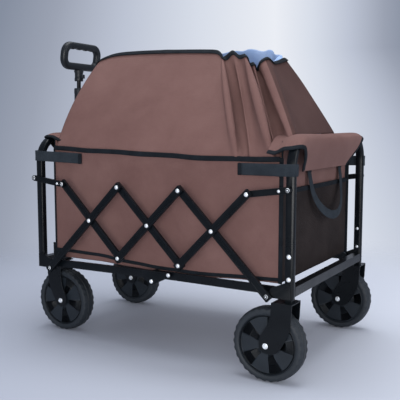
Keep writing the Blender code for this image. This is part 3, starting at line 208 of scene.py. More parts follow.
def cloth_material(slot, name, colour, light, threads, depth, patches=7.0, sheen=0.12):
    """Woven cloth, as a look: the material paired with the name of its slot."""
    look, tree, shader, place = blank_material(
        name, Roughness=0.85, Specular_IOR_Level=0.15, Sheen_Weight=sheen, Sheen_Roughness=0.45, Sheen_Tint=light
    )
    weave = grouped(tree, WEAVE, place, Threads_per_metre=threads)["Height"]
    tone = grouped(tree, UNEVEN, place, Colour=colour, Light=light, Patches_per_metre=patches, Fleck_amount=0.25)
    between_threads = tuple(c * 0.55 for c in colour)
    shaded = mix_colour(tree, math_node(tree, "MULTIPLY", weave, 0.22), tone["Colour"], between_threads)
    tree.links.new(shaded, shader.inputs["Base Color"])
    slub = grouped(tree, GRAIN, place, Grains_per_metre=threads * 0.35)["Height"]
    height = math_node(tree, "ADD", math_node(tree, "MULTIPLY", weave, 0.6), math_node(tree, "MULTIPLY", slub, 0.8))
    bump(tree, shader, height, depth, 0.9)
    return look, slot


def hard_material(slot, name, colour, worn_and_lit, roughness, grains, depth, wear_and_highlight, gloss=0.5, spread=0.12, metallic=0.0):
    """Painted or moulded surface with rubbed edges whose lighter colour is partly wear and partly painted highlight, as
    a look.
    """
    look, tree, shader, place = blank_material(name, Metallic=metallic, Specular_IOR_Level=gloss)
    dusty = tuple(c * 1.5 for c in colour)
    tone = grouped(tree, UNEVEN, place, Colour=colour, Light=dusty, Patches_per_metre=18.0, Fleck_amount=0.15)
    mask = grouped(tree, WEAR_AND_HIGHLIGHT, place, Amount=wear_and_highlight)["Mask"]
    # The edges are lightened partly as wear and partly as a painted highlight.
    tree.links.new(mix_colour(tree, mask, tone["Colour"], worn_and_lit), shader.inputs["Base Color"])
    varied = math_node(tree, "MULTIPLY_ADD", tone["Mask"], spread, roughness - spread / 2)
    tree.links.new(varied, shader.inputs["Roughness"])
    bump(tree, shader, grouped(tree, GRAIN, place, Grains_per_metre=grains)["Height"], depth, 0.6)
    return look, slot


# Cloths: slot, name, colour, lighter colour, threads per metre, depth of the weave
BROWN_CLOTH = cloth_material(
    "brown_cloth", "brown_oxford_cloth", (0.15, 0.08, 0.073), (0.192, 0.108, 0.098), 1100.0, 0.0005
)
# A darker copy of the brown cloth, used as painted shade on the extension's rear faces.
BROWN_PAINTED_SHADE = cloth_material(
    "brown_cloth", "brown_oxford_cloth_painted_shade", (0.066, 0.034, 0.031), (0.088, 0.047, 0.043), 1100.0, 0.0005
)
BROWN_BOARD = cloth_material(
    "brown_cloth", "brown_base_cloth", (0.14, 0.077, 0.073), (0.175, 0.1, 0.094), 1100.0, 0.0005
)
BLUE_LINING = cloth_material(
    "blue_lining", "blue_lining_cloth", (0.36, 0.52, 0.84), (0.52, 0.67, 0.95), 1500.0, 0.0004, 14.0, 0.2
)
BLACK_TAPE = cloth_material(
    "webbing", "black_binding_tape", (0.0062, 0.0085, 0.012), (0.0125, 0.0165, 0.0225), 1600.0, 0.0005, 30.0, 0.03
)
WEBBING = cloth_material(
    "webbing", "black_webbing", (0.0175, 0.0235, 0.031), (0.029, 0.037, 0.047), 520.0, 0.001, 26.0, 0.05
)
POCKET_NET = cloth_material(
    "black_mesh", "black_pocket_net", (0.014, 0.0095, 0.0092), (0.03, 0.022, 0.021), 420.0, 0.0012, 9.0, 0.06
)
THREAD = cloth_material(
    "webbing", "black_stitch_thread", (0.01, 0.012, 0.016), (0.02, 0.024, 0.03), 2500.0, 0.0003, 80.0, 0.1
)

# Hard surfaces: slot, name, colour, colour of the rubbed edges (wear and painted highlight), roughness, grains per
# metre, depth of the grain, amount of edge wear and painted highlight
BLACK_STEEL = hard_material(
    "black_steel", "black_enamelled_steel", (0.0017, 0.0027, 0.004), (0.022, 0.029, 0.037), 0.3, 1500.0, 0.00012, 0.3,
    gloss=0.22, spread=0.1,
)
BLACK_PLASTIC = hard_material(
    "black_plastic", "black_moulded_plastic", (0.0085, 0.0105, 0.0135), (0.035, 0.042, 0.05), 0.42, 900.0, 0.0003, 0.3,
    gloss=0.35,
)
WHEEL_PLASTIC = hard_material(
    "black_plastic", "wheel_centre_plastic", (0.008, 0.0118, 0.0165), (0.03, 0.038, 0.048), 0.5, 700.0, 0.0004, 0.25,
    gloss=0.32,
)
# A near-black copy of the wheel plastic, used as painted shade in the deep pockets.
POCKET_PAINTED_SHADE = hard_material(
    "black_plastic", "wheel_pocket_painted_shade", (0.0012, 0.0014, 0.0018), (0.006, 0.007, 0.009), 0.75, 700.0, 0.0004, 0.0,
    gloss=0.1,
)
TYRE_RUBBER = hard_material(
    "tyre", "tyre_rubber", (0.0095, 0.0132, 0.018), (0.026, 0.032, 0.039), 0.6, 500.0, 0.0006, 0.2,
    gloss=0.42, spread=0.2,
)
ZINC = hard_material(
    "zinc_bolt", "zinc_plated_steel", (0.7, 0.73, 0.76), (0.85, 0.87, 0.9), 0.34, 1200.0, 0.0001, 0.4, metallic=0.55
)


# -------- pieces
def finish_piece(name, bm, look, body, *stands_for, angle=38, centred=True, looks=()):
    """A finished mesh in the row frame that rides on its body and takes the place of CAD nodes."""
    weld(bm, 1e-5)
    bmesh.ops.recalc_face_normals(bm, faces=bm.faces[:])
    if centred:
        move(bm, TO_FRAME)
    mesh = bpy.data.meshes.new(name)
    bm.to_mesh(mesh)
    bm.free()
    mesh.shade_smooth()
    mesh.set_sharp_from_angle(angle=radians(angle))
    for material, _ in (look, *looks):
        mesh.materials.append(material)
    piece = bpy.data.objects.new(name, mesh)
    bpy.context.scene.collection.objects.link(piece)
    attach(piece, body)
    if stands_for:
        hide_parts(*stands_for)
    return piece


def join(parts):
    whole = bmesh.new()
    for part in parts:
        mesh = bpy.data.meshes.new("part")
        part.to_mesh(mesh)
        part.free()
        whole.from_mesh(mesh)
        bpy.data.meshes.remove(mesh)
    return whole


def move(bm, matrix):
    bmesh.ops.transform(bm, matrix=matrix, verts=bm.verts[:])


def weld(bm, distance):
    bmesh.ops.remove_doubles(bm, verts=bm.verts[:], dist=distance)


def round_edges(piece, width, angle=32):
    change = piece.modifiers.new("rounded_edges", "BEVEL")
    change.width = width
    change.segments = 2
    change.limit_method = "ANGLE"
    change.angle_limit = radians(angle)
    change.use_clamp_overlap = True
    change.harden_normals = True


def thicken(piece, thickness, offset):
    change = piece.modifiers.new("thickness", "SOLIDIFY")
    change.thickness = thickness
    change.offset = offset
    change.use_even_offset = False


def cloth_piece(name, bm, look, body, thickness, *stands_for, offset=0.0, folds=False, angle=38, looks=()):
    """A smoothed sheet or tape with a thickness; one given folds=True gets a copy of its mesh of its own."""
    piece = finish_piece(name, bm, look, body, *stands_for, angle=angle, looks=looks)
    thicken(piece, thickness, offset)
    fine = piece.modifiers.new("smoothing", "SUBSURF")
    fine.levels = fine.render_levels = 1
    if folds:
        squash_with_fold(piece)
    return piece


def squash_with_fold(piece):
    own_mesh(piece)


def dressed_copy(node, look, body, width):
    """A CAD node's own shape with its edges rounded and a finished surface."""
    bm = bmesh.new()
    bm.from_mesh(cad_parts[node].data)
    weld(bm, 2e-5)
    bmesh.ops.dissolve_limit(bm, angle_limit=radians(1.5), verts=bm.verts[:], edges=bm.edges[:])
    piece = finish_piece(node + "_finished", bm, look, body, node, centred=False)
    if width:
        round_edges(piece, width)


def sheet_mesh(columns, rows, place, painted_shade_faces=None):
    """A flat grid whose points are moved to place(u, v); a picker of u, if given, chooses the faces that take the
    second look, here the darker copy of the cloth that paints shade.
    """
    bm = bmesh.new()
    bmesh.ops.create_grid(bm, x_segments=columns, y_segments=rows, size=1.0)
    if painted_shade_faces:
        for face in bm.faces:
            face.material_index = int(painted_shade_faces((face.calc_center_median().x + 1) / 2))
    for vert in bm.verts:
        vert.co = place((vert.co.x + 1) / 2, (vert.co.y + 1) / 2)
    return bm


def ramp(value, low, high):
    return min(max((value - low) / (high - low), 0.0), 1.0)


def ease(value, low, high):
    share = ramp(value, low, high)
    return share * share * (3 - 2 * share)


def hump(t):
    """Nothing at 0 and 1, and 1 half way."""
    return sin(pi * t)


def uneven(x, y, z):
    return noise.noise(Vector((x, y, z)))


def through(points, t, closed=False):
    """A smooth curve through the points; t runs from 0 to 1."""
    count = len(points)
    spans = count if closed else count - 1
    at = t * spans
    i = min(int(at), spans - 1)
    f = at - i
    near = [i + k - 1 for k in range(4)]
    a, b, c, d = (points[n % count if closed else min(max(n, 0), count - 1)] for n in near)
    return 0.5 * (2 * b + (c - a) * f + (2 * a - 5 * b + 4 * c - d) * f * f + (3 * b - 3 * c + d - a) * f ** 3)


def ribbon(path, across, width, columns, rows=2, crown=0.0):
    """A strip along a path; across gives its width direction."""
    points = [Vector(p) for p in path]

    def place(u, v):
        side = across(u) if callable(across) else Vector(across)
        ahead = (through(points, min(u + 0.01, 1)) - through(points, max(u - 0.01, 0))).normalized()
        side = (side - ahead * side.dot(ahead)).normalized()
        out = ahead.cross(side)
        return through(points, u) + side * (v - 0.5) * width + out * crown * (1 - (2 * v - 1) ** 2)

    return sheet_mesh(columns, rows, place)


def spun(points, axis, steps):
    """A line of points spun once round an axis."""
    bm = bmesh.new()
    verts = [bm.verts.new(point) for point in points]
    edges = [bm.edges.new(pair) for pair in zip(verts, verts[1:])]
    bmesh.ops.spin(
        bm, geom=verts + edges, cent=(0, 0, 0), axis=axis, dvec=(0, 0, 0), angle=tau, steps=steps,
        use_merge=True, use_duplicate=False,
    )
    weld(bm, 1e-6)
    return bm


def turned(profile, centre, axis, steps):
    """A profile of (radius, distance along the axis) spun round the axis."""
    bm = spun([(radius, 0, along) for radius, along in profile], (0, 0, 1), steps)
    turn = Vector((0, 0, 1)).rotation_difference(Vector(axis)).to_matrix().to_4x4()
    move(bm, Matrix.Translation(centre) @ turn)
    return bm


def block(centre, size):
    """A plain box."""
    bm = bmesh.new()
    bmesh.ops.create_cube(bm, size=1.0, matrix=Matrix.Translation(centre) @ Matrix.Diagonal((*size, 1)))
    return bm


def only(kind, geometry):
    return [item for item in geometry if isinstance(item, kind)]


def plate(outline, to_3d, vector):
    """A flat outline pulled to a thickness."""
    bm = bmesh.new()
    face = bm.faces.new([bm.verts.new(to_3d(point)) for point in outline])
    pull = bmesh.ops.extrude_face_region(bm, geom=[face])["geom"]
    bmesh.ops.translate(bm, verts=only(bmesh.types.BMVert, pull), vec=vector)
    wide = [f for f in bm.faces if len(f.verts) > 4]
    bmesh.ops.triangulate(bm, faces=wide, quad_method="BEAUTY", ngon_method="BEAUTY")
    return bm


# The sewn rim, the foot binding and the loose foot hem sag between the posts: (x, z) along a side
RIM_LINE = mm((-385, 599.5), (-200, 592.5), (0, 586.2), (145, 580.5), (295, 580), (385, 583))
FOOT_LINE = mm((-385, 280), (-210, 276), (-100, 267), (0, 259.5), (130, 258), (290, 263), (385, 267))
HEM_LINE = mm((-385, 256), (-210, 256), (-100, 250.5), (0, 246.5), (130, 247), (290, 254.5), (385, 257))


def sewn_line(line, x):
    """The height of a sewn line at x, eased between its stated points."""
    for (x0, z0), (x1, z1) in zip(line, line[1:]):
        if x <= x1 or x1 == line[-1][0]:
            return z0 + (z1 - z0) * ease(x, x0, x1)


# -------- cloth tub
def tub_sides():
    for side, sign in SIDES:
        def panel_point(u, v):
            x = -TUB_X + 2 * TUB_X * u
            foot = sewn_line(HEM_LINE, x)
            z = foot + (sewn_line(RIM_LINE, x) + 0.0065 - foot) * v
            slack = 0.0035 * hump(u) * hump(v)
            ripple = 0.0016 * uneven(x * 9, sign * 3.0, z * 7)
            ripple += 0.001 * sin(34 * x + 9 * z) * hump(v)
            return Vector((x, sign * (TUB_Y - 0.0015 + slack + ripple * hump(u)), z))

        panel_mesh = sheet_mesh(44, 20, panel_point)
        panel = cloth_piece(
            f"tub_side_{side}", panel_mesh, BROWN_CLOTH, "root", CLOTH, f"side_panel_{side}", folds=True
        )

        def tape(name, path, across, width, columns, lift=0.0016):
            moved = [Vector((x, sign * (TUB_Y + lift), z)) for x, z in path]
            strip = ribbon(moved, across, width, columns, 3)
            return cloth_piece(f"{name}_{side}", strip, BLACK_TAPE, "root", TAPE, folds=True)

        def upright(x, *heights):
            return [(x, z) for z in heights]

        spread = [-TUB_X + 2 * TUB_X * i / 12 for i in range(13)]
        rim_path = [(x, sewn_line(RIM_LINE, x) + 0.0007 * sin(30 * x)) for x in spread]
        foot_path = [(x, sewn_line(FOOT_LINE, x) + 0.0006 * sin(23 * x + 1)) for x in spread]
        rear_path = upright(TUB_X + 0.0022, FLOOR_BASE, 0.42, 0.586)
        front_path = upright(-TUB_X + 0.001, FLOOR_BASE, 0.42, 0.6)
        tab_path = upright(-0.3915, 0.259, 0.28, 0.301)
        patch_path = [(-0.388, 0.27), (-0.366, 0.269), (-0.345, 0.2665)]
        along, up = (1, 0, 0), (0, 0, 1)
        bindings = [
            tape("rim_binding", rim_path, up, 0.0145, 60, 0.0024),
            tape("foot_binding", foot_path, up, 0.0105, 60),
            tape("rear_edge_binding", rear_path, along, 0.0125, 24),
            tape("front_corner_patch", patch_path, up, 0.02, 12, 0.002),
            tape("front_corner_tab", tab_path, along, 0.009, 12),
            tape("front_edge_binding", front_path, along, 0.006, 24),
        ]


def end_panels():
    height = 0.374
    top = FLOOR_BASE + height
    for end, body, sign in ENDS:
        def panel_point(u, v):
            y = (TUB_Y - 0.0033) * (2 * u - 1)
            z = FLOOR_BASE + (top - FLOOR_BASE) * v
            slack = -0.0022 * hump(u) * hump(v) + 0.0008 * uneven(sign, y * 9, z * 8)
            return Vector((sign * (TUB_X - 0.0015 + min(slack, 0.0004)), y, z))

        panel_mesh = sheet_mesh(30, 20, panel_point)
        panel = cloth_piece(f"tub_{end}_panel", panel_mesh, BROWN_CLOTH, body, CLOTH, f"{end}_end_panel")
        x = sign * (TUB_X + 0.0004)
        edges = [
            (f"tape_{side}", [(x, y_sign * (TUB_Y - 0.0075), z) for z in (FLOOR_BASE, 0.42, top)], (0, 1, 0), 0.011)
            for side, y_sign in SIDES
        ]
        foot_path = [(x, y, FLOOR_BASE + 0.007) for y in (-TUB_Y + 0.004, 0, TUB_Y - 0.004)]
        edges.append(("foot_tape", foot_path, (0, 0, 1), 0.01))
        tapes = [
            cloth_piece(f"tub_{end}_{name}", ribbon(path, across, width, 20), BLACK_TAPE, body, THIN_TAPE)
            for name, path, across, width in edges
        ]


def floor_board():
    """A stiff board in a sewn sleeve, with two stitched channels across it."""
    half_x, half_y = TUB_X - 0.0036, TUB_Y - 0.0036
    channel_x, channel_width = 0.13, 0.006

    def board_point(u, v):
        x, y = half_x * (2 * u - 1), half_y * (2 * v - 1)
        edge = min(1.0, 14 * min(u, 1 - u)) * min(1.0, 14 * min(v, 1 - v))
        channel = 1 - 0.8 * exp(-((abs(x) - channel_x) / channel_width) ** 2)
        rise = 0.0035 + 0.004 * sqrt(edge) * channel
        return Vector((x, y, FLOOR_BASE + rise + 0.0004 * uneven(x * 14, y * 14, 0)))

    top = sheet_mesh(96, 40, board_point)
    rim = [edge for edge in top.edges if edge.is_boundary]
    pull = bmesh.ops.extrude_edge_only(top, edges=rim)["geom"]
    for vert in only(bmesh.types.BMVert, pull):
        vert.co.z = FLOOR_BASE + 0.0004
    bmesh.ops.contextual_create(top, geom=only(bmesh.types.BMEdge, pull))
    piece = finish_piece("floor_board_sleeve", top, BROWN_BOARD, "root", "floor_panel")
    squash_with_fold(piece)


def end_flaps():
    """Cloth folded from the tub over each end rail, wrapped round the tube's bends, with bound edges."""
    top = RAIL_TOP + 0.0026
    # (x, height from the top, half the cloth's width measured along it), from inside the tub to the hem
    section = mm(
        (352, -0.5, 284), (375, 0.8, 290), (400, 2.2, 292), (418, 2.6, 291), (430.5, 1, 286), (440.5, -5, 276),
        (444, -14, 263), (444, -26, 247), (439, -44, 229), (430.5, -62, 209), (421.5, -79, 195), (415, -93, 184),
    )
    profile = [Vector(row) for row in section]
    bend_start, bend_radius = 0.213, 0.0832
    # The rear flap hugs the near bend; its far end and the front flap stop short of theirs
    for (end, body, sign), near_share, far_share, area in ((ENDS[0], 1.0, 0.89, 0.0895), (ENDS[1], 0.87, 0.87, 0.0825)):
        def flap_point(u, v):
            x, rise, half = through(profile, v)
            across = 2 * u - 1
            half *= near_share if across < 0 else far_share
            along = half * (1 - (1 - abs(across)) ** 1.25)
            angle = max(along - bend_start, 0.0) / bend_radius
            y = min(along, bend_start) + bend_radius * sin(angle)
            drop = bend_radius * (1 - cos(angle))
            drop += 0.012 * (1 - ease(x, 0.372, 0.404)) * ease(y, 0.205, 0.268)
            wave = 0.0012 * sin(pi * u * 3) * hump(v)
            return Vector((sign * x, copysign(y, across), top + rise - drop + wave))

        flap_mesh = sheet_mesh(56, 34, flap_point)
        flap = cloth_piece(
            f"{end}_flap_cloth", flap_mesh, BROWN_CLOTH, body, CLOTH, f"{end}_flap", looks=(BLACK_TAPE,)
        )
        if sum(face.normal.z * face.area for face in flap.data.polygons) < 0:
            flap.data.flip_normals()
        flap.modifiers["thickness"].material_offset = 1  # the inner face is black
        for side, edge, inside in (("near", 0.004, 0.03), ("far", 0.996, 0.97)):
            path = [flap_point(edge, i / 40) for i in range(41)]
            strip = ribbon(path, lambda t: flap_point(edge, t) - flap_point(inside, t), 0.012, 64, 3)
            cloth_piece(f"{end}_flap_binding_{side}", strip, BLACK_TAPE, body, 0.005)
        hem = [flap_point(i / 12, 1.0) + Vector((0, 0, 0.002)) for i in range(13)]
        cloth_piece(f"{end}_flap_hem", ribbon(hem, (0, 0, 1), 0.008, 30), BROWN_CLOTH, body, 0.004)


# -------- standing extension
# Each column is (foot x, y, z, top x, y, z, how far it bows out at half height), from the near front corner round by
# the rear.
COLUMNS = mm(
    (-382, -238, 618, -356, -64, 862, 4), (-380, -256, 606, -338, -88, 880, 16),
    (-368, -261, 604, -306, -85, 893, 16), (-330, -262, 603, -262, -81, 901, 12),
    (-240, -262, 601, -190, -81, 902, 10), (-120, -262, 598, -100, -82, 900, 10), (0, -262, 595, -10, -85, 896, 10),
    (110, -262, 593, 60, -88, 892, 8), (190, -262, 591, 100, -91, 888, 7), (236, -263, 590, 116, -95, 879, 10),
    (257, -267, 589.5, 124, -100, 870, 21), (266, -260, 589.3, 127.5, -97.5, 867, 0),
    (279, -247, 589, 135, -92.5, 871, -30), (293, -256, 588.5, 153, -91, 884, -8),
    (313, -255, 588, 174, -93, 870, -12), (339, -260, 587.5, 187, -97, 870, 1), (362, -266, 587, 198, -100, 871, 18),
    (367, -256, 589, 200, -88, 860, -4), (369, -252, 592, 205, -84, 846, -8), (371, -253, 597, 218, -88, 848, 5),
    (376, -251, 600, 220, -79, 843, -14), (383, -250, 606, 218, -66, 836, -26), (392, -247, 616, 219, -62, 834, -22),
    (399, -246, 630, 226, -70, 840, -2), (403, -243, 636, 237, -77, 853, 10), (407, -228, 645, 253, -66, 863, 6),
    (408, -214, 646.5, 260, -48, 853, 0), (402, -170, 645.5, 258, -26, 853, -4), (386, -20, 645.5, 252, 25, 862, -6),
    (370, 150, 645.5, 247, 66, 871, -2), (356, 225, 645, 243, 84, 873.5, 4), (346, 252, 612, 230, 94, 874.5, 6),
    (318, 261, 590, 200, 96, 880, 10), (200, 262, 591, 110, 92, 890, 12), (20, 262, 595, -20, 88, 896, 12),
    (-160, 262, 599, -140, 84, 899, 12), (-330, 262, 603, -280, 84, 897, 14), (-372, 256, 606, -334, 80, 878, 12),
    (-384, 234, 640, -356, 60, 862, 4), (-388, 120, 645.5, -366, 30, 854, 6), (-388, -120, 645.5, -366, -30, 854, 6),
)
BASES = [Vector(column[:3]) for column in COLUMNS]
for foot in BASES:
    if abs(foot.y) > 0.246 and foot.z < 0.607:
        foot.z = sewn_line(RIM_LINE, foot.x) + 0.0055
TOPS = [Vector(column[3:6]) for column in COLUMNS]
BOWS = [column[6] for column in COLUMNS]


def column_at(u):
    """The extension's foot, top, bow and outward direction at u, which runs once round it."""
    base, top, bow = (through(line, u, True) for line in (BASES, TOPS, BOWS))
    step = 0.35 / len(COLUMNS)
    ahead, behind = (u + step) % 1.0, (u - step) % 1.0
    along = through(BASES, ahead, True) - through(BASES, behind, True)
    along += through(TOPS, ahead, True) - through(TOPS, behind, True)
    return base, top, bow, along.cross(top - base).normalized()


def smooth_out(base, top):
    """The outward direction without the pleats, for a piece that lies beside the cloth."""
    middle = (base + top) / 2
    away = Vector((middle.x - max(min(middle.x, 0.22), -0.22), middle.y, 0.0))
    return Vector((away.x * 0.9, away.y, 0.07)).normalized()


def extension_point(u, v, offset=0.0):
    base, top, bow, out = column_at(u % 1.0)
    point = base.lerp(top, v) + out * (4 * v * (1 - v) * bow)
    wrinkle = 0.0016 * uneven(point.x * 7, point.y * 7, point.z * 9)
    wrinkle += 0.0022 * uneven(point.x * 3 + 5, point.y * 3, point.z * 4)
    return point + out * (wrinkle * hump(min(max(v, 0), 1)) + offset)


def extension():
    columns = 5 * len(COLUMNS)
    rear_start, rear_end = 24.6 / len(COLUMNS), 31.0 / len(COLUMNS)
    height = 0.3
    # The rear faces between these columns take the darker brown copy, which paints shade on them.
    cloth_mesh = sheet_mesh(columns, 26, extension_point, lambda u: rear_start < u < rear_end)
    cloth = cloth_piece(
        "extension_cloth", cloth_mesh, BROWN_CLOTH, "root", 0.0018, "extension_skirt",
        offset=-1.0, folds=True, angle=60, looks=(BROWN_PAINTED_SHADE,),
    )

    def binding_point(u, w):
        """Over the top edge: up the outside, round, and down the inside; thicker where its ends are joined."""
        around = w * pi
        reach = 0.015 if w < 0.5 else 0.01
        down = reach * abs(cos(around)) ** 1.5
        side = 0.004 * cos(around) - 0.0006
        top = through(TOPS, u % 1.0, True)
        joint = exp(-((top.x + 0.086) / 0.0055) ** 2) * (1.0 if top.y < 0 else 0.0)
        rise = 0.003 + 0.0022 * joint - down * (1 + 0.25 * joint)
        return extension_point(u, 1.0 + rise / height, side * (1 + 0.5 * joint))

    edge = cloth_piece(
        "extension_top_binding", sheet_mesh(columns, 8, binding_point), BLACK_TAPE, "root", 0.003, folds=True, angle=60
    )

    def lining_point(u, v):
        """Close behind the top edge, and a smooth tube well inside the pleats below it."""
        base, top, _, out = column_at(u)
        near_edge = ease(v, 0.86, 1.0)
        steps = [(u + 0.014 * k) % 1.0 for k in range(-4, 5)]
        low = sum((through(BASES, step, True) for step in steps), Vector()) / len(steps)
        high = sum((through(TOPS, step, True) for step in steps), Vector()) / len(steps)
        far_side = ramp(top.y, -0.05, 0.05)
        far_rear = far_side * ramp(top.x, -0.02, 0.12)
        near_rear = ramp(top.x, 0.08, 0.14) * (1 - far_side)
        rise = 0.003 + (0.018 + 0.006 * sin(95 * top.x + 1.0)) * far_rear
        fold = (0.006 * sin(150 * u) + 0.0045 * sin(330 * u + 1.0)) * far_rear * near_edge
        crumple = 0.0035 * uneven(u * 70, v * 7, 2.0)
        inwards = smooth_out(base, top)
        depth = 0.012 + near_rear * (0.03 + 0.05 * hump(min(v, 1.0))) + abs(crumple)
        deep = low.lerp(high, v) - inwards * depth
        close = base.lerp(top, v * (1.0 + rise / height)) - out * 0.0045 - inwards * (fold + 0.002)
        return deep.lerp(close, near_edge)

    lining = cloth_piece(
        "lining_cloth", sheet_mesh(columns, 22, lining_point), BLUE_LINING, "root", 0.0012, "skirt_lining",
        offset=1.0, folds=True, angle=60,
    )


# -------- rear trim and straps
def rear_trim():
    """The net pocket with its bound hem, and the webbing loop that hangs over it."""
    face = TUB_X + 0.0025
    half_y = TUB_Y - 0.006
    foot, top = FLOOR_BASE + 0.005, 0.501

    def pocket_point(u, v):
        y = half_y * (2 * u - 1)
        z = foot + (top - foot) * v
        belly = 0.0022 * hump(u) * hump(min(1.0, v * 1.1)) + 0.0005 * uneven(0, y * 20, z * 20)
        return Vector((face + belly, y, z - 0.0015 * hump(u) * v))

    net = cloth_piece("rear_pocket_net", sheet_mesh(34, 24, pocket_point), POCKET_NET, "root", 0.0014, "rear_pocket")
    hem_path = [pocket_point(i / 12, 1.0) + Vector((0.0012, 0, -0.004)) for i in range(13)]
    hem_mesh = ribbon(hem_path, (0, 0, 1), 0.014, 36, 3)
    hem = cloth_piece("rear_pocket_binding", hem_mesh, BLACK_TAPE, "root", TAPE)

    steps = 22
    drop, span, bulge, aside = 0.134, 0.256, 0.03, 0.052
    loop_top = RAIL_TOP - 0.098
    path = []
    for i in range(steps + 1):
        angle = pi * i / steps
        hang = sin(angle) ** 0.8
        x = TUB_X + 0.004 + bulge * hang ** 2 + (0.004 if 0 < i < steps else 0)
        path.append(Vector((x, aside - span / 2 * cos(angle), loop_top - drop * hang)))

    def across(u):
        ahead = through(path, min(u + 0.02, 1)) - through(path, max(u - 0.02, 0))
        return Vector((1, 0, 0)).cross(ahead)

    loop_mesh = ribbon(path, across, 0.026, 70, 4, 0.0012)
    cloth_piece("carry_loop_webbing", loop_mesh, WEBBING, "root", 0.002, "carry_loop")
    for number, centre in enumerate((path[0], path[-1])):
        bar = block(centre + Vector((0.0012, 0, 0.004)), (0.0026, 0.03, 0.016))
        round_edges(finish_piece(f"carry_loop_bar_{number}", bar, THREAD, "root"), 0.0008)


def corner_straps():
    """Webbing sewn to the side panel and wrapped round each post, with a turned hem at its free end."""
    for (end, body, x_sign), level, tail_length, tilt in (
        (ENDS[0], RIM_REAR - 0.0305, 0.16, 0.0022), (ENDS[1], RIM_FRONT - 0.0352, 0.15, 0.0075),
    ):
        tail = POST_X - tail_length
        outline = [
            (tail, TUB_Y + 0.003), (tail + 0.05, TUB_Y + 0.0105), (tail + 0.1, TUB_Y + 0.021), (POST_X - 0.017, 0.2945),
            (POST_X - 0.008, 0.2952), (POST_X + 0.008, 0.2952), (POST_X + 0.0125, 0.2935), (POST_X + 0.0145, 0.288),
            (POST_X + 0.0145, 0.2735),
        ]
        for side, sign in SIDES:
            path = [Vector((x_sign * x, sign * y, level + tilt * (x - tail) / 0.16)) for x, y in outline]
            hem_path = [path[0] + Vector((x_sign * d, sign * (0.0018 + 0.15 * d), 0)) for d in (-0.001, 0.005, 0.011)]
            strap = cloth_piece(
                f"{end}_strap_{side}", ribbon(path, (0, 0, 1), 0.0325, 48, 4, 0.0008), WEBBING, body, 0.002,
                f"{end}_corner_strap_{side}",
            )
            hem = cloth_piece(
                f"{end}_strap_hem_{side}", ribbon(hem_path, (0, 0, 1), 0.033, 8, 4), BLACK_TAPE, body, 0.0022
            )
            for piece in (strap, hem):
                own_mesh(piece)


# -------- steel frame
def steel_frame():
    """Frames, rails, links and mounts in their CAD shapes: (node, body, edge radius)."""
    nodes = [
        ("rear_end_frame", "root", 0.0007), ("front_end_frame", "front_frame", 0.0007),
        ("rear_bottom_rails", "rear_rail", 0.0012),
    ]
    for side, _ in SIDES:
        nodes += [
            (f"front_bottom_rail_{side}", "front_rail", 0.0012), (f"front_link_{side}", "front_link", 0.001),
            (f"rear_link_{side}", "rear_link", 0.001), (f"caster_mount_{side}", "front_frame", 0.0006),
        ]
    nodes.append(("handle_bracket", "front_frame", 0.0006))
    for node, body, radius in nodes:
        dressed_copy(node, BLACK_STEEL, body, radius)


# The scissor's pivots as (x, z), and each strut's ends and whether it runs in the outer layer
LOW_Z = 0.2289
PIVOTS = {
    "B0": (-0.367, LOW_Z), "B1": (-0.1039, 0.2841), "B2": (0.1039, 0.2841), "B3": (0.367, LOW_Z),
    "M1": (-0.2079, 0.388), "M2": (0.0, 0.388), "M3": (0.2079, 0.388),
    "T1": (-0.3118, 0.4919), "T2": (-0.1039, 0.4919), "T3": (0.1039, 0.4919), "T4": (0.3118, 0.4919),
}
STRUTS = (("B0", "T2", 1), ("T1", "B1", 0), ("B1", "T3", 1), ("T2", "B2", 0), ("B2", "T4", 1), ("T3", "B3", 0))
POST_PIVOT_Z = 0.5072
POST_BOLTS_Z = (0.336, 0.277)
HUB_Z = 0.2243
RAIL_FACE = 0.2942


def scissor_struts():
    """Twelve flat bars with square ends a little past their rivets and a pressed channel along each."""
    past_rivet, thickness, width = 0.0115, 0.008, 0.0214
    for number, (start, finish, outside) in enumerate(STRUTS, 1):
        first, last = Vector(PIVOTS[start]), Vector(PIVOTS[finish])
        run, centre = last - first, (first + last) / 2
        inner = 0.3079 if outside else 0.2992
        for side, sign in SIDES:
            bar = block((0, 0, 0), (run.length + 2 * past_rivet, thickness, width))
            corners = [e for e in bar.edges if (e.verts[0].co - e.verts[1].co).xz.length < 1e-6]
            bmesh.ops.bevel(bar, geom=corners, offset=0.0022, segments=3, profile=0.5, affect="EDGES", material=-1)
            for face in [f for f in bar.faces if f.normal.y * sign > 0.9]:
                bmesh.ops.inset_region(bar, faces=[face], thickness=0.0034, depth=0.0)
                bmesh.ops.inset_region(bar, faces=[face], thickness=0.0012, depth=-0.001)
            place = Matrix.Translation((centre.x, sign * (inner + thickness / 2), centre.y))
            place @= Matrix.Rotation(-atan2(run.y, run.x), 4, "Y")
            move(bar, place)
            node = f"scissor_strut_{number}_{side}"
            round_edges(finish_piece(f"strut_{number}_{side}", bar, BLACK_STEEL, f"strut_{number}", node), 0.0011)


def rivet_head(x, z, face, sign, radius=0.0061, height=0.0032):
    profile = [
        (0, height), (radius * 0.45, height * 0.92), (radius * 0.78, height * 0.62), (radius * 0.95, height * 0.22),
        (radius, 0), (radius * 0.9, -0.0006),
    ]
    return turned(profile, (x, sign * face, z), (0, sign, 0), 20)


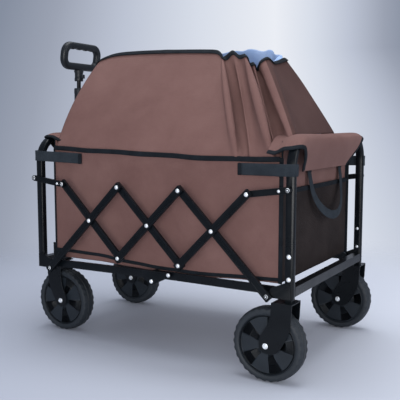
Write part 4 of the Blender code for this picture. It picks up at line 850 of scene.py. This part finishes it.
def rivets():
    """Zinc heads over the scissor's pivots, the post pins and bolts, and the rail hub."""
    proud = 0.0003
    outer = {"strut_1": "M1 T2", "strut_3": "B1 M2 T3", "strut_5": "B2 M3 T4", "front_link": "T1"}
    groups = {body: [(*PIVOTS[p], LAYER_OUTER) for p in pivots.split()] for body, pivots in outer.items()}
    groups |= {
        "front_frame": [(*PIVOTS["B0"], LAYER_OUTER + proud), (-POST_X, POST_PIVOT_Z, LAYER_OUTER + proud)],
        "root": [
            (*PIVOTS["B3"], LAYER_INNER + proud), (POST_X, POST_PIVOT_Z, LAYER_INNER + proud),
            *((POST_X, z, POST_FACE) for z in POST_BOLTS_Z),
        ],
        "front_rail": [(0.0, HUB_Z, RAIL_FACE), (0.058, HUB_Z + 0.0242, RAIL_FACE)],
    }
    for body, places in groups.items():
        for side, sign in SIDES:
            heads = [rivet_head(x, z, face, sign) for x, z, face in places]
            if body == "root":
                heads += [rivet_head(POST_X, z, -0.2731, -sign, 0.0045, 0.0022) for z in POST_BOLTS_Z]
            finish_piece(f"rivets_{body}_{side}", join(heads), ZINC, body, angle=60)
    for side, sign in SIDES:
        for end, x, z, face in (("front", -0.329, 0.4935, LAYER_OUTER), ("rear", 0.3985, 0.5038, LAYER_INNER)):
            small = rivet_head(x, z, face, sign, 0.0042, 0.002)
            finish_piece(f"link_rivet_{end}_{side}", small, ZINC, f"{end}_link", angle=60)


# -------- wheels
HALF_RIM = 0.019
AXLE_Z = 0.1
REAR_AXLE = (0.36899, 0.283)
FRONT_AXLE = (-0.40699, 0.194)


def tyre(name, body, node, centre):
    """A rounded tread with a groove each side of its middle and staggered shoulder lugs."""
    steps, lug_steps = 120, 4
    profile = mm(
        (80, -19.5), (81.5, -22.2), (85, -23.8), (89, -24), (93, -23.6), (96.2, -22.2), (98.2, -19), (99.2, -13.5),
        (99.4, -10.5), (97.5, -9.5), (97.5, -7.5), (99.7, -6.5), (100, 0),
    )
    profile += [(radius, -along) for radius, along in profile[-2::-1]]
    bm = turned(profile + [profile[0]], (0, 0, 0), (0, 1, 0), steps)
    for vert in bm.verts:
        radius = hypot(vert.co.x, vert.co.z)
        step = round(atan2(vert.co.z, vert.co.x) / tau * steps)
        along = vert.co.y
        phase = (step + (lug_steps // 2 if along > 0 else 0)) % lug_steps
        if radius > 0.0925 and abs(along) > 0.0125 and phase >= lug_steps // 2:
            pull = 0.0022 if abs(along) > 0.018 else 0.0014
            vert.co.x *= (radius - pull) / radius
            vert.co.z *= (radius - pull) / radius
    move(bm, Matrix.Translation(centre))
    finish_piece(name, bm, TYRE_RUBBER, body, node, angle=28)


def wheel_centre(name, body, node, centre, turn):
    """Five wide fan spokes between blind wedge pockets, a hub boss and a groove inside the tyre."""
    bore, boss, pocket_in, pocket_out, groove_in, groove_out = 0.0045, 0.016, 0.032, 0.074, 0.0756, 0.0776
    spoke_pitch, half_pocket = 72, 16
    radii = (bore, boss, 0.0185, pocket_in, pocket_out, groove_in, groove_out, 0.0797)
    bm = spun([(radius, -HALF_RIM, 0) for radius in radii], (0, 1, 0), 90)
    bmesh.ops.recalc_face_normals(bm, faces=bm.faces[:])

    def sink(inside, outside, depth, pocket=False):
        chosen = []
        for face in bm.faces:
            middle = face.calc_center_median()
            radius = hypot(middle.x, middle.z)
            if not (inside < radius < outside and abs(middle.y + HALF_RIM) < 1e-5):
                continue
            offset = (degrees(atan2(middle.z, middle.x)) - turn) % spoke_pitch
            if not pocket or min(offset, spoke_pitch - offset) <= half_pocket:
                chosen.append(face)
        moved = bmesh.ops.extrude_face_region(bm, geom=chosen)["geom"]
        bmesh.ops.translate(bm, verts=only(bmesh.types.BMVert, moved), vec=(0, depth, 0))
        return only(bmesh.types.BMFace, moved)

    # The pockets' floors and walls take the second look, which paints the shade inside them.
    for face in sink(pocket_in, pocket_out, 0.0145, True):
        face.material_index = 1
        for edge in face.edges:
            for wall in edge.link_faces:
                if abs(wall.normal.y) < 0.5:
                    wall.material_index = 1
    sink(groove_in, groove_out, 0.003)
    sink(bore, boss, -0.0058)
    bm.normal_update()
    border = [e for e in bm.edges if e.is_boundary]
    for vert in only(bmesh.types.BMVert, bmesh.ops.extrude_edge_only(bm, edges=border)["geom"]):
        vert.co.y = 0.0
    whole = bm.verts[:] + bm.edges[:] + bm.faces[:]
    bmesh.ops.mirror(bm, geom=whole, matrix=Matrix.Identity(4), merge_dist=1e-5, axis="Y")
    weld(bm, 1e-6)
    move(bm, Matrix.Translation(centre))
    round_edges(finish_piece(name, bm, WHEEL_PLASTIC, body, node, looks=(POCKET_PAINTED_SHADE,)), 0.0009)


# The forks' cheeks as (x, z) from the axle
REAR_CHEEK = mm(
    (15, 128), (72.5, 128), (70.5, 75), (66, 48), (56, 22), (43, -1), (31, -15), (18, -20.5), (4, -21.5), (-9, -18.5),
    (-17.5, -8), (-19.5, 8), (-14, 29), (-1, 48), (8.5, 64), (13.5, 85),
)
FRONT_CHEEK = mm(
    (2.5, 114), (-54.5, 114), (-54, 85), (-50, 60), (-42, 35), (-31, 12), (-22.5, -4), (-12, -16), (0, -21),
    (12, -19), (20.5, -10), (23.5, 4), (19, 20), (10, 42), (4.5, 65), (2.5, 90),
)


def fork(name, body, node, axle, y, outline, plate_top, lip):
    """A pressed fork: two tapering cheeks and a shallow tray on top; the rear ones have a stub up to the post."""
    half, sheet = 0.0305, 0.003
    inner_width = 2 * half - 0.004
    cheek_top = plate_top - AXLE_Z + lip
    cut = [(x, min(z, cheek_top) if z > 0.1 else z) for x, z in outline]
    parts = []
    for side in (-1, 1):
        edge = y + side * half
        parts.append(plate(cut, lambda p: (axle + p[0], edge, AXLE_Z + p[1]), (0, -side * sheet, 0)))
    upper = [axle + x for x, z in outline if z > 0.1]
    x0, x1 = min(upper), max(upper)
    parts.append(block(((x0 + x1) / 2, y, plate_top - sheet / 2), (x1 - x0, inner_width, sheet)))
    if body == "root":
        stub, post_foot = 0.019, 0.2247
        stub_middle = (POST_X, y, (plate_top + post_foot) / 2 - 0.0004)
        parts.append(block(stub_middle, (stub, stub, post_foot - plate_top + 0.0002)))
    round_edges(finish_piece(name, join(parts), BLACK_STEEL, body, node), 0.0009, 40)


def axle_bolt(name, body, node, x, y):
    """A hexagon bolt and nut with washers."""
    half, shank = 0.0308, 0.004
    washer = mm((0, 1.2), (7.4, 1.2), (7.8, 0.6), (7.8, 0), (0, 0))
    head = mm((0, 5.2), (4.6, 5.2), (5.8, 4.4), (6.2, 3.6), (6.2, 0.8), (0, 0.8))
    parts = []
    for side in (-1, 1):
        place, out = (x, y + side * half, AXLE_Z), (0, side, 0)
        parts += [turned(washer, place, out, 28), turned(head, place, out, 6)]
    parts.append(turned([(0, -half), (shank, -half), (shank, half), (0, half)], (x, y, AXLE_Z), (0, 1, 0), 20))
    round_edges(finish_piece(name, join(parts), ZINC, body, node, angle=30), 0.0004)


def wheels():
    for side, sign in SIDES:
        for end, (x, y), body, prefix, cheek, top, lip, turn in (
            ("rear", REAR_AXLE, "root", "rear", REAR_CHEEK, 0.217, 0.0006, 4),
            ("front", FRONT_AXLE, f"caster_{side}", "caster", FRONT_CHEEK, 0.2207, 0.0, -6),
        ):
            y *= sign
            wheel, centre = f"{end}_wheel_{side}", Vector((x, y, AXLE_Z))
            tyre(f"{end}_{side}_tyre", wheel, f"{end}_tyre_{side}", centre)
            wheel_centre(f"{end}_{side}_wheel_centre", wheel, f"{end}_rim_{side}", centre, turn)
            fork(f"{end}_{side}_fork", body, f"{prefix}_fork_{side}", x, y, cheek, top, lip)
            axle_bolt(f"{end}_{side}_axle_bolt", body, f"{prefix}_axle_{side}", x, y)


# -------- pull handle
LEAN = radians(1.2)
HANDLE_FOOT = Vector((-0.51499, 0, 0.25))
HANDLE_PLACE = Matrix.Translation(HANDLE_FOOT) @ Matrix.Rotation(LEAN, 4, "Y")


def handle_turning(name, profile, level, body, *stands_for):
    """A part turned round the handle's tube; its heights count from a level along the tube."""
    bm = turned([(radius, level + rise) for radius, rise in profile], (0, 0, 0), (0, 0, 1), 32)
    move(bm, HANDLE_PLACE)
    return finish_piece(name, bm, BLACK_PLASTIC, body, *stands_for)


def pull_handle():
    dressed_copy("handle_outer_tube", BLACK_STEEL, "handle", 0.0)
    dressed_copy("handle_inner_tube", BLACK_STEEL, "handle_rod", 0.0)
    top = 0.542
    collar = mm(
        (12.8, -60), (15.5, -59), (15.8, -50), (15.2, -46), (15.2, -12), (16, -9), (16, 3), (14.8, 7.5), (9, 8), (7.4, 8),
        (7.4, 1),
    )
    thicken(handle_turning("handle_sleeve", collar, top, "handle", "handle_collar"), 0.0004, 1.0)

    neck = top + 0.032
    bar, half_y, height, corner = 0.028, 0.086, 0.069, 0.027
    middle = neck + 0.036 + bar / 2 + height / 2
    straight_y, straight_z = half_y - corner, height / 2 - corner
    arc = corner * pi / 2
    # The ring's sides as (outwards, ahead, half its straight run, distance from the middle)
    ring_sides = (
        ((0, 1), (1, 0), straight_y, height / 2), ((1, 0), (0, -1), straight_z, half_y),
        ((0, -1), (-1, 0), straight_y, height / 2), ((-1, 0), (0, 1), straight_z, half_y),
    )

    def centre_line(u):
        """The ring's middle and outward direction: over the top bar, down, back along the lower bar and up."""
        left = (u % 1.0) * 4 * (straight_y + straight_z + arc)
        for outwards, onwards, half_run, distance in ring_sides:
            out, ahead = Vector(outwards), Vector(onwards)
            if left <= 2 * half_run:
                return out * distance + ahead * (left - half_run), out
            left -= 2 * half_run
            if left <= arc:
                angle = left / corner
                turned_out = out * cos(angle) + ahead * sin(angle)
                return out * (distance - corner) + ahead * half_run + turned_out * corner, turned_out
            left -= arc
        return Vector((-straight_y, height / 2)), Vector((0, 1))

    hinge = Vector((0, 0, neck + 0.03))
    tilt = Matrix.Translation(hinge) @ Matrix.Rotation(radians(7.5), 4, "Y") @ Matrix.Translation(-hinge)

    def grip_point(u, v):
        """Round the ring's bar, with finger grooves under the top bar."""
        centre, out = centre_line(u)
        outward, sideways = cos(v * tau), sin(v * tau)
        reach = bar / 2
        if centre.y > height / 2 - 0.004 and outward < 0 and abs(centre.x) < straight_y + 0.01:
            reach -= 0.0026 * abs(outward) * (0.5 + 0.5 * cos(centre.x / straight_y * pi * 3.5))
        reach *= 1 - 0.1 * cos(2 * v * tau) ** 2
        place = centre + out * outward * reach
        return HANDLE_PLACE @ tilt @ Vector((sideways * reach * 0.92 + 0.003, place.x, middle + place.y))

    ring = sheet_mesh(96, 20, grip_point)
    finish_piece("handle_grip_ring", ring, BLACK_PLASTIC, "handle_rod", "handle_grip", angle=50)
    stem = mm((7.8, 0), (14, 0), (15.2, 3), (15, 10), (14, 14), (14.2, 26), (16.5, 34), (15, 44), (0, 46))
    handle_turning("handle_neck", stem, neck, "handle_rod")
    dressed_copy("release_button", BLACK_PLASTIC, "button", 0.0006)


# -------- studio
# The photograph's camera is turned from the side and tilted down; its right and its line of sight follow
TURN, DIP = 0.5295, 0.1073
RIGHT = Vector((cos(TURN), sin(TURN), 0))
VIEW = Vector((-sin(TURN) * cos(DIP), cos(TURN) * cos(DIP), -sin(DIP)))


def put_in_scene(name, data, place=(0, 0, 0), facing=None):
    made = bpy.data.objects.new(name, data)
    made.location = place
    if facing:
        made.rotation_euler = facing.to_track_quat("-Z", "Y").to_euler()
    bpy.context.scene.collection.objects.link(made)
    return made


def camera_and_lamps():
    lens = bpy.data.cameras.new("camera")
    lens.lens = 61.257
    lens.sensor_width = 36.0
    bpy.context.scene.camera = put_in_scene("camera", lens, (1.08833 + MIDDLE, -1.87622, 0.66556), VIEW)
    for name, place, target, size, power, colour in (
        ("overhead_softbox", (0.1, 0.15, 3.0), (0, 0, 0.3), (2.8, 2.2), 68, (0.97, 0.985, 1.0)),
        ("front_softbox", (1.3, -3.1, 0.62), (0, 0, 0.42), (2.6, 1.1), 66, (1.0, 0.99, 0.98)),
        ("rear_strip", (2.7, 0.5, 0.95), (0.3, 0, 0.4), (0.9, 1.4), 14, (0.94, 0.97, 1.0)),
    ):
        light = bpy.data.lights.new(name, "AREA")
        light.shape = "RECTANGLE"
        light.size, light.size_y = size
        light.energy = power
        light.color = colour
        put_in_scene(name, light, place, Vector(target) - Vector(place))


def studio_floor():
    """A pale floor that fades out into the backdrop; its colour is painted lighter towards the right as painted light.
    """
    disc = bmesh.new()
    bmesh.ops.create_circle(disc, cap_ends=True, segments=96, radius=4.5)
    mesh = bpy.data.meshes.new("studio_floor")
    disc.to_mesh(mesh)
    disc.free()
    look, tree, shader, place = blank_material("studio_floor", Roughness=0.75, Specular_IOR_Level=0.15)
    # Painted light: the floor's colour grows lighter towards the right, standing in for how the light falls across it.
    sideways = put(tree, "VectorMath", {0: place, 1: RIGHT}, operation="DOT_PRODUCT")["Value"]
    tone = mix_colour(tree, map_range(tree, sideways, -1.0, 0.9), (0.37, 0.4, 0.48), (0.6, 0.63, 0.71))
    tree.links.new(tone, shader.inputs["Base Color"])
    away = put(tree, "VectorMath", {0: place}, operation="LENGTH")["Value"]
    fade = map_range(tree, away, 1.0, 2.1, 1.0, 0.0, interpolation_type="SMOOTHSTEP")
    tree.links.new(fade, shader.inputs["Alpha"])
    mesh.materials.append(look)
    put_in_scene("studio_floor", mesh)


def backdrop():
    """The backdrop is pale in the middle and darker to each side; cloth and metal are lit by an even sky."""
    world = bpy.data.worlds.new("studio")
    world.use_nodes = True
    bpy.context.scene.world = world
    tree = world.node_tree
    tree.nodes.clear()
    direction = put(tree, "TexCoord")["Generated"]

    def part(vector):
        return put(tree, "VectorMath", {0: direction, 1: vector}, operation="DOT_PRODUCT")["Value"]

    forward = math_node(tree, "MAXIMUM", part(VIEW), 0.2)
    across_sky = math_node(tree, "DIVIDE", part(RIGHT), forward)
    up_sky = part((0, 0, 1))
    off = math_node(tree, "SUBTRACT", across_sky, 0.11)

    def falling(at_level, fall, least):
        """How far the pale middle reaches to one side, narrower higher up."""
        return math_node(tree, "MAXIMUM", math_node(tree, "MULTIPLY_ADD", up_sky, -fall, at_level), least)

    to_left = math_node(tree, "DIVIDE", math_node(tree, "MULTIPLY", off, -1.0), falling(0.45, 0.31, 0.15))
    to_right = math_node(tree, "DIVIDE", off, falling(0.293, 0.85, 0.2))
    sky = put(tree, "ValToRGB", {0: math_node(tree, "MAXIMUM", to_left, to_right)})
    stops = (
        (0.0, (0.831, 0.855, 0.913)), (0.28, (0.68, 0.723, 0.812)), (0.55, (0.503, 0.546, 0.651)),
        (0.8, (0.328, 0.361, 0.445)), (1.0, (0.235, 0.27, 0.347)),
    )
    elements = sky[0].node.color_ramp.elements
    for number, (position, tone) in enumerate(stops):
        stop = elements[number] if number < 2 else elements.new(position)
        stop.position = position
        stop.color = (*tone, 1)
    seen = put(tree, "Background", {"Color": sky[0]})[0]
    ambient = put(tree, "Background", {"Color": (0.86, 0.9, 1.0), "Strength": 0.56})[0]
    path = put(tree, "LightPath")
    shown = math_node(tree, "MAXIMUM", path["Is Camera Ray"], path["Is Glossy Ray"])
    shown = math_node(tree, "MAXIMUM", shown, path["Is Transmission Ray"])
    both = put(tree, "MixShader", {0: shown, 1: ambient, 2: seen})[0]
    put(tree, "OutputWorld", {"Surface": both})


bpy.context.scene.view_settings.view_transform = "Standard"
steel_frame()
scissor_struts()
rivets()
tub_sides()
end_panels()
floor_board()
end_flaps()
extension()
rear_trim()
corner_straps()
wheels()
pull_handle()
camera_and_lamps()
studio_floor()
backdrop()
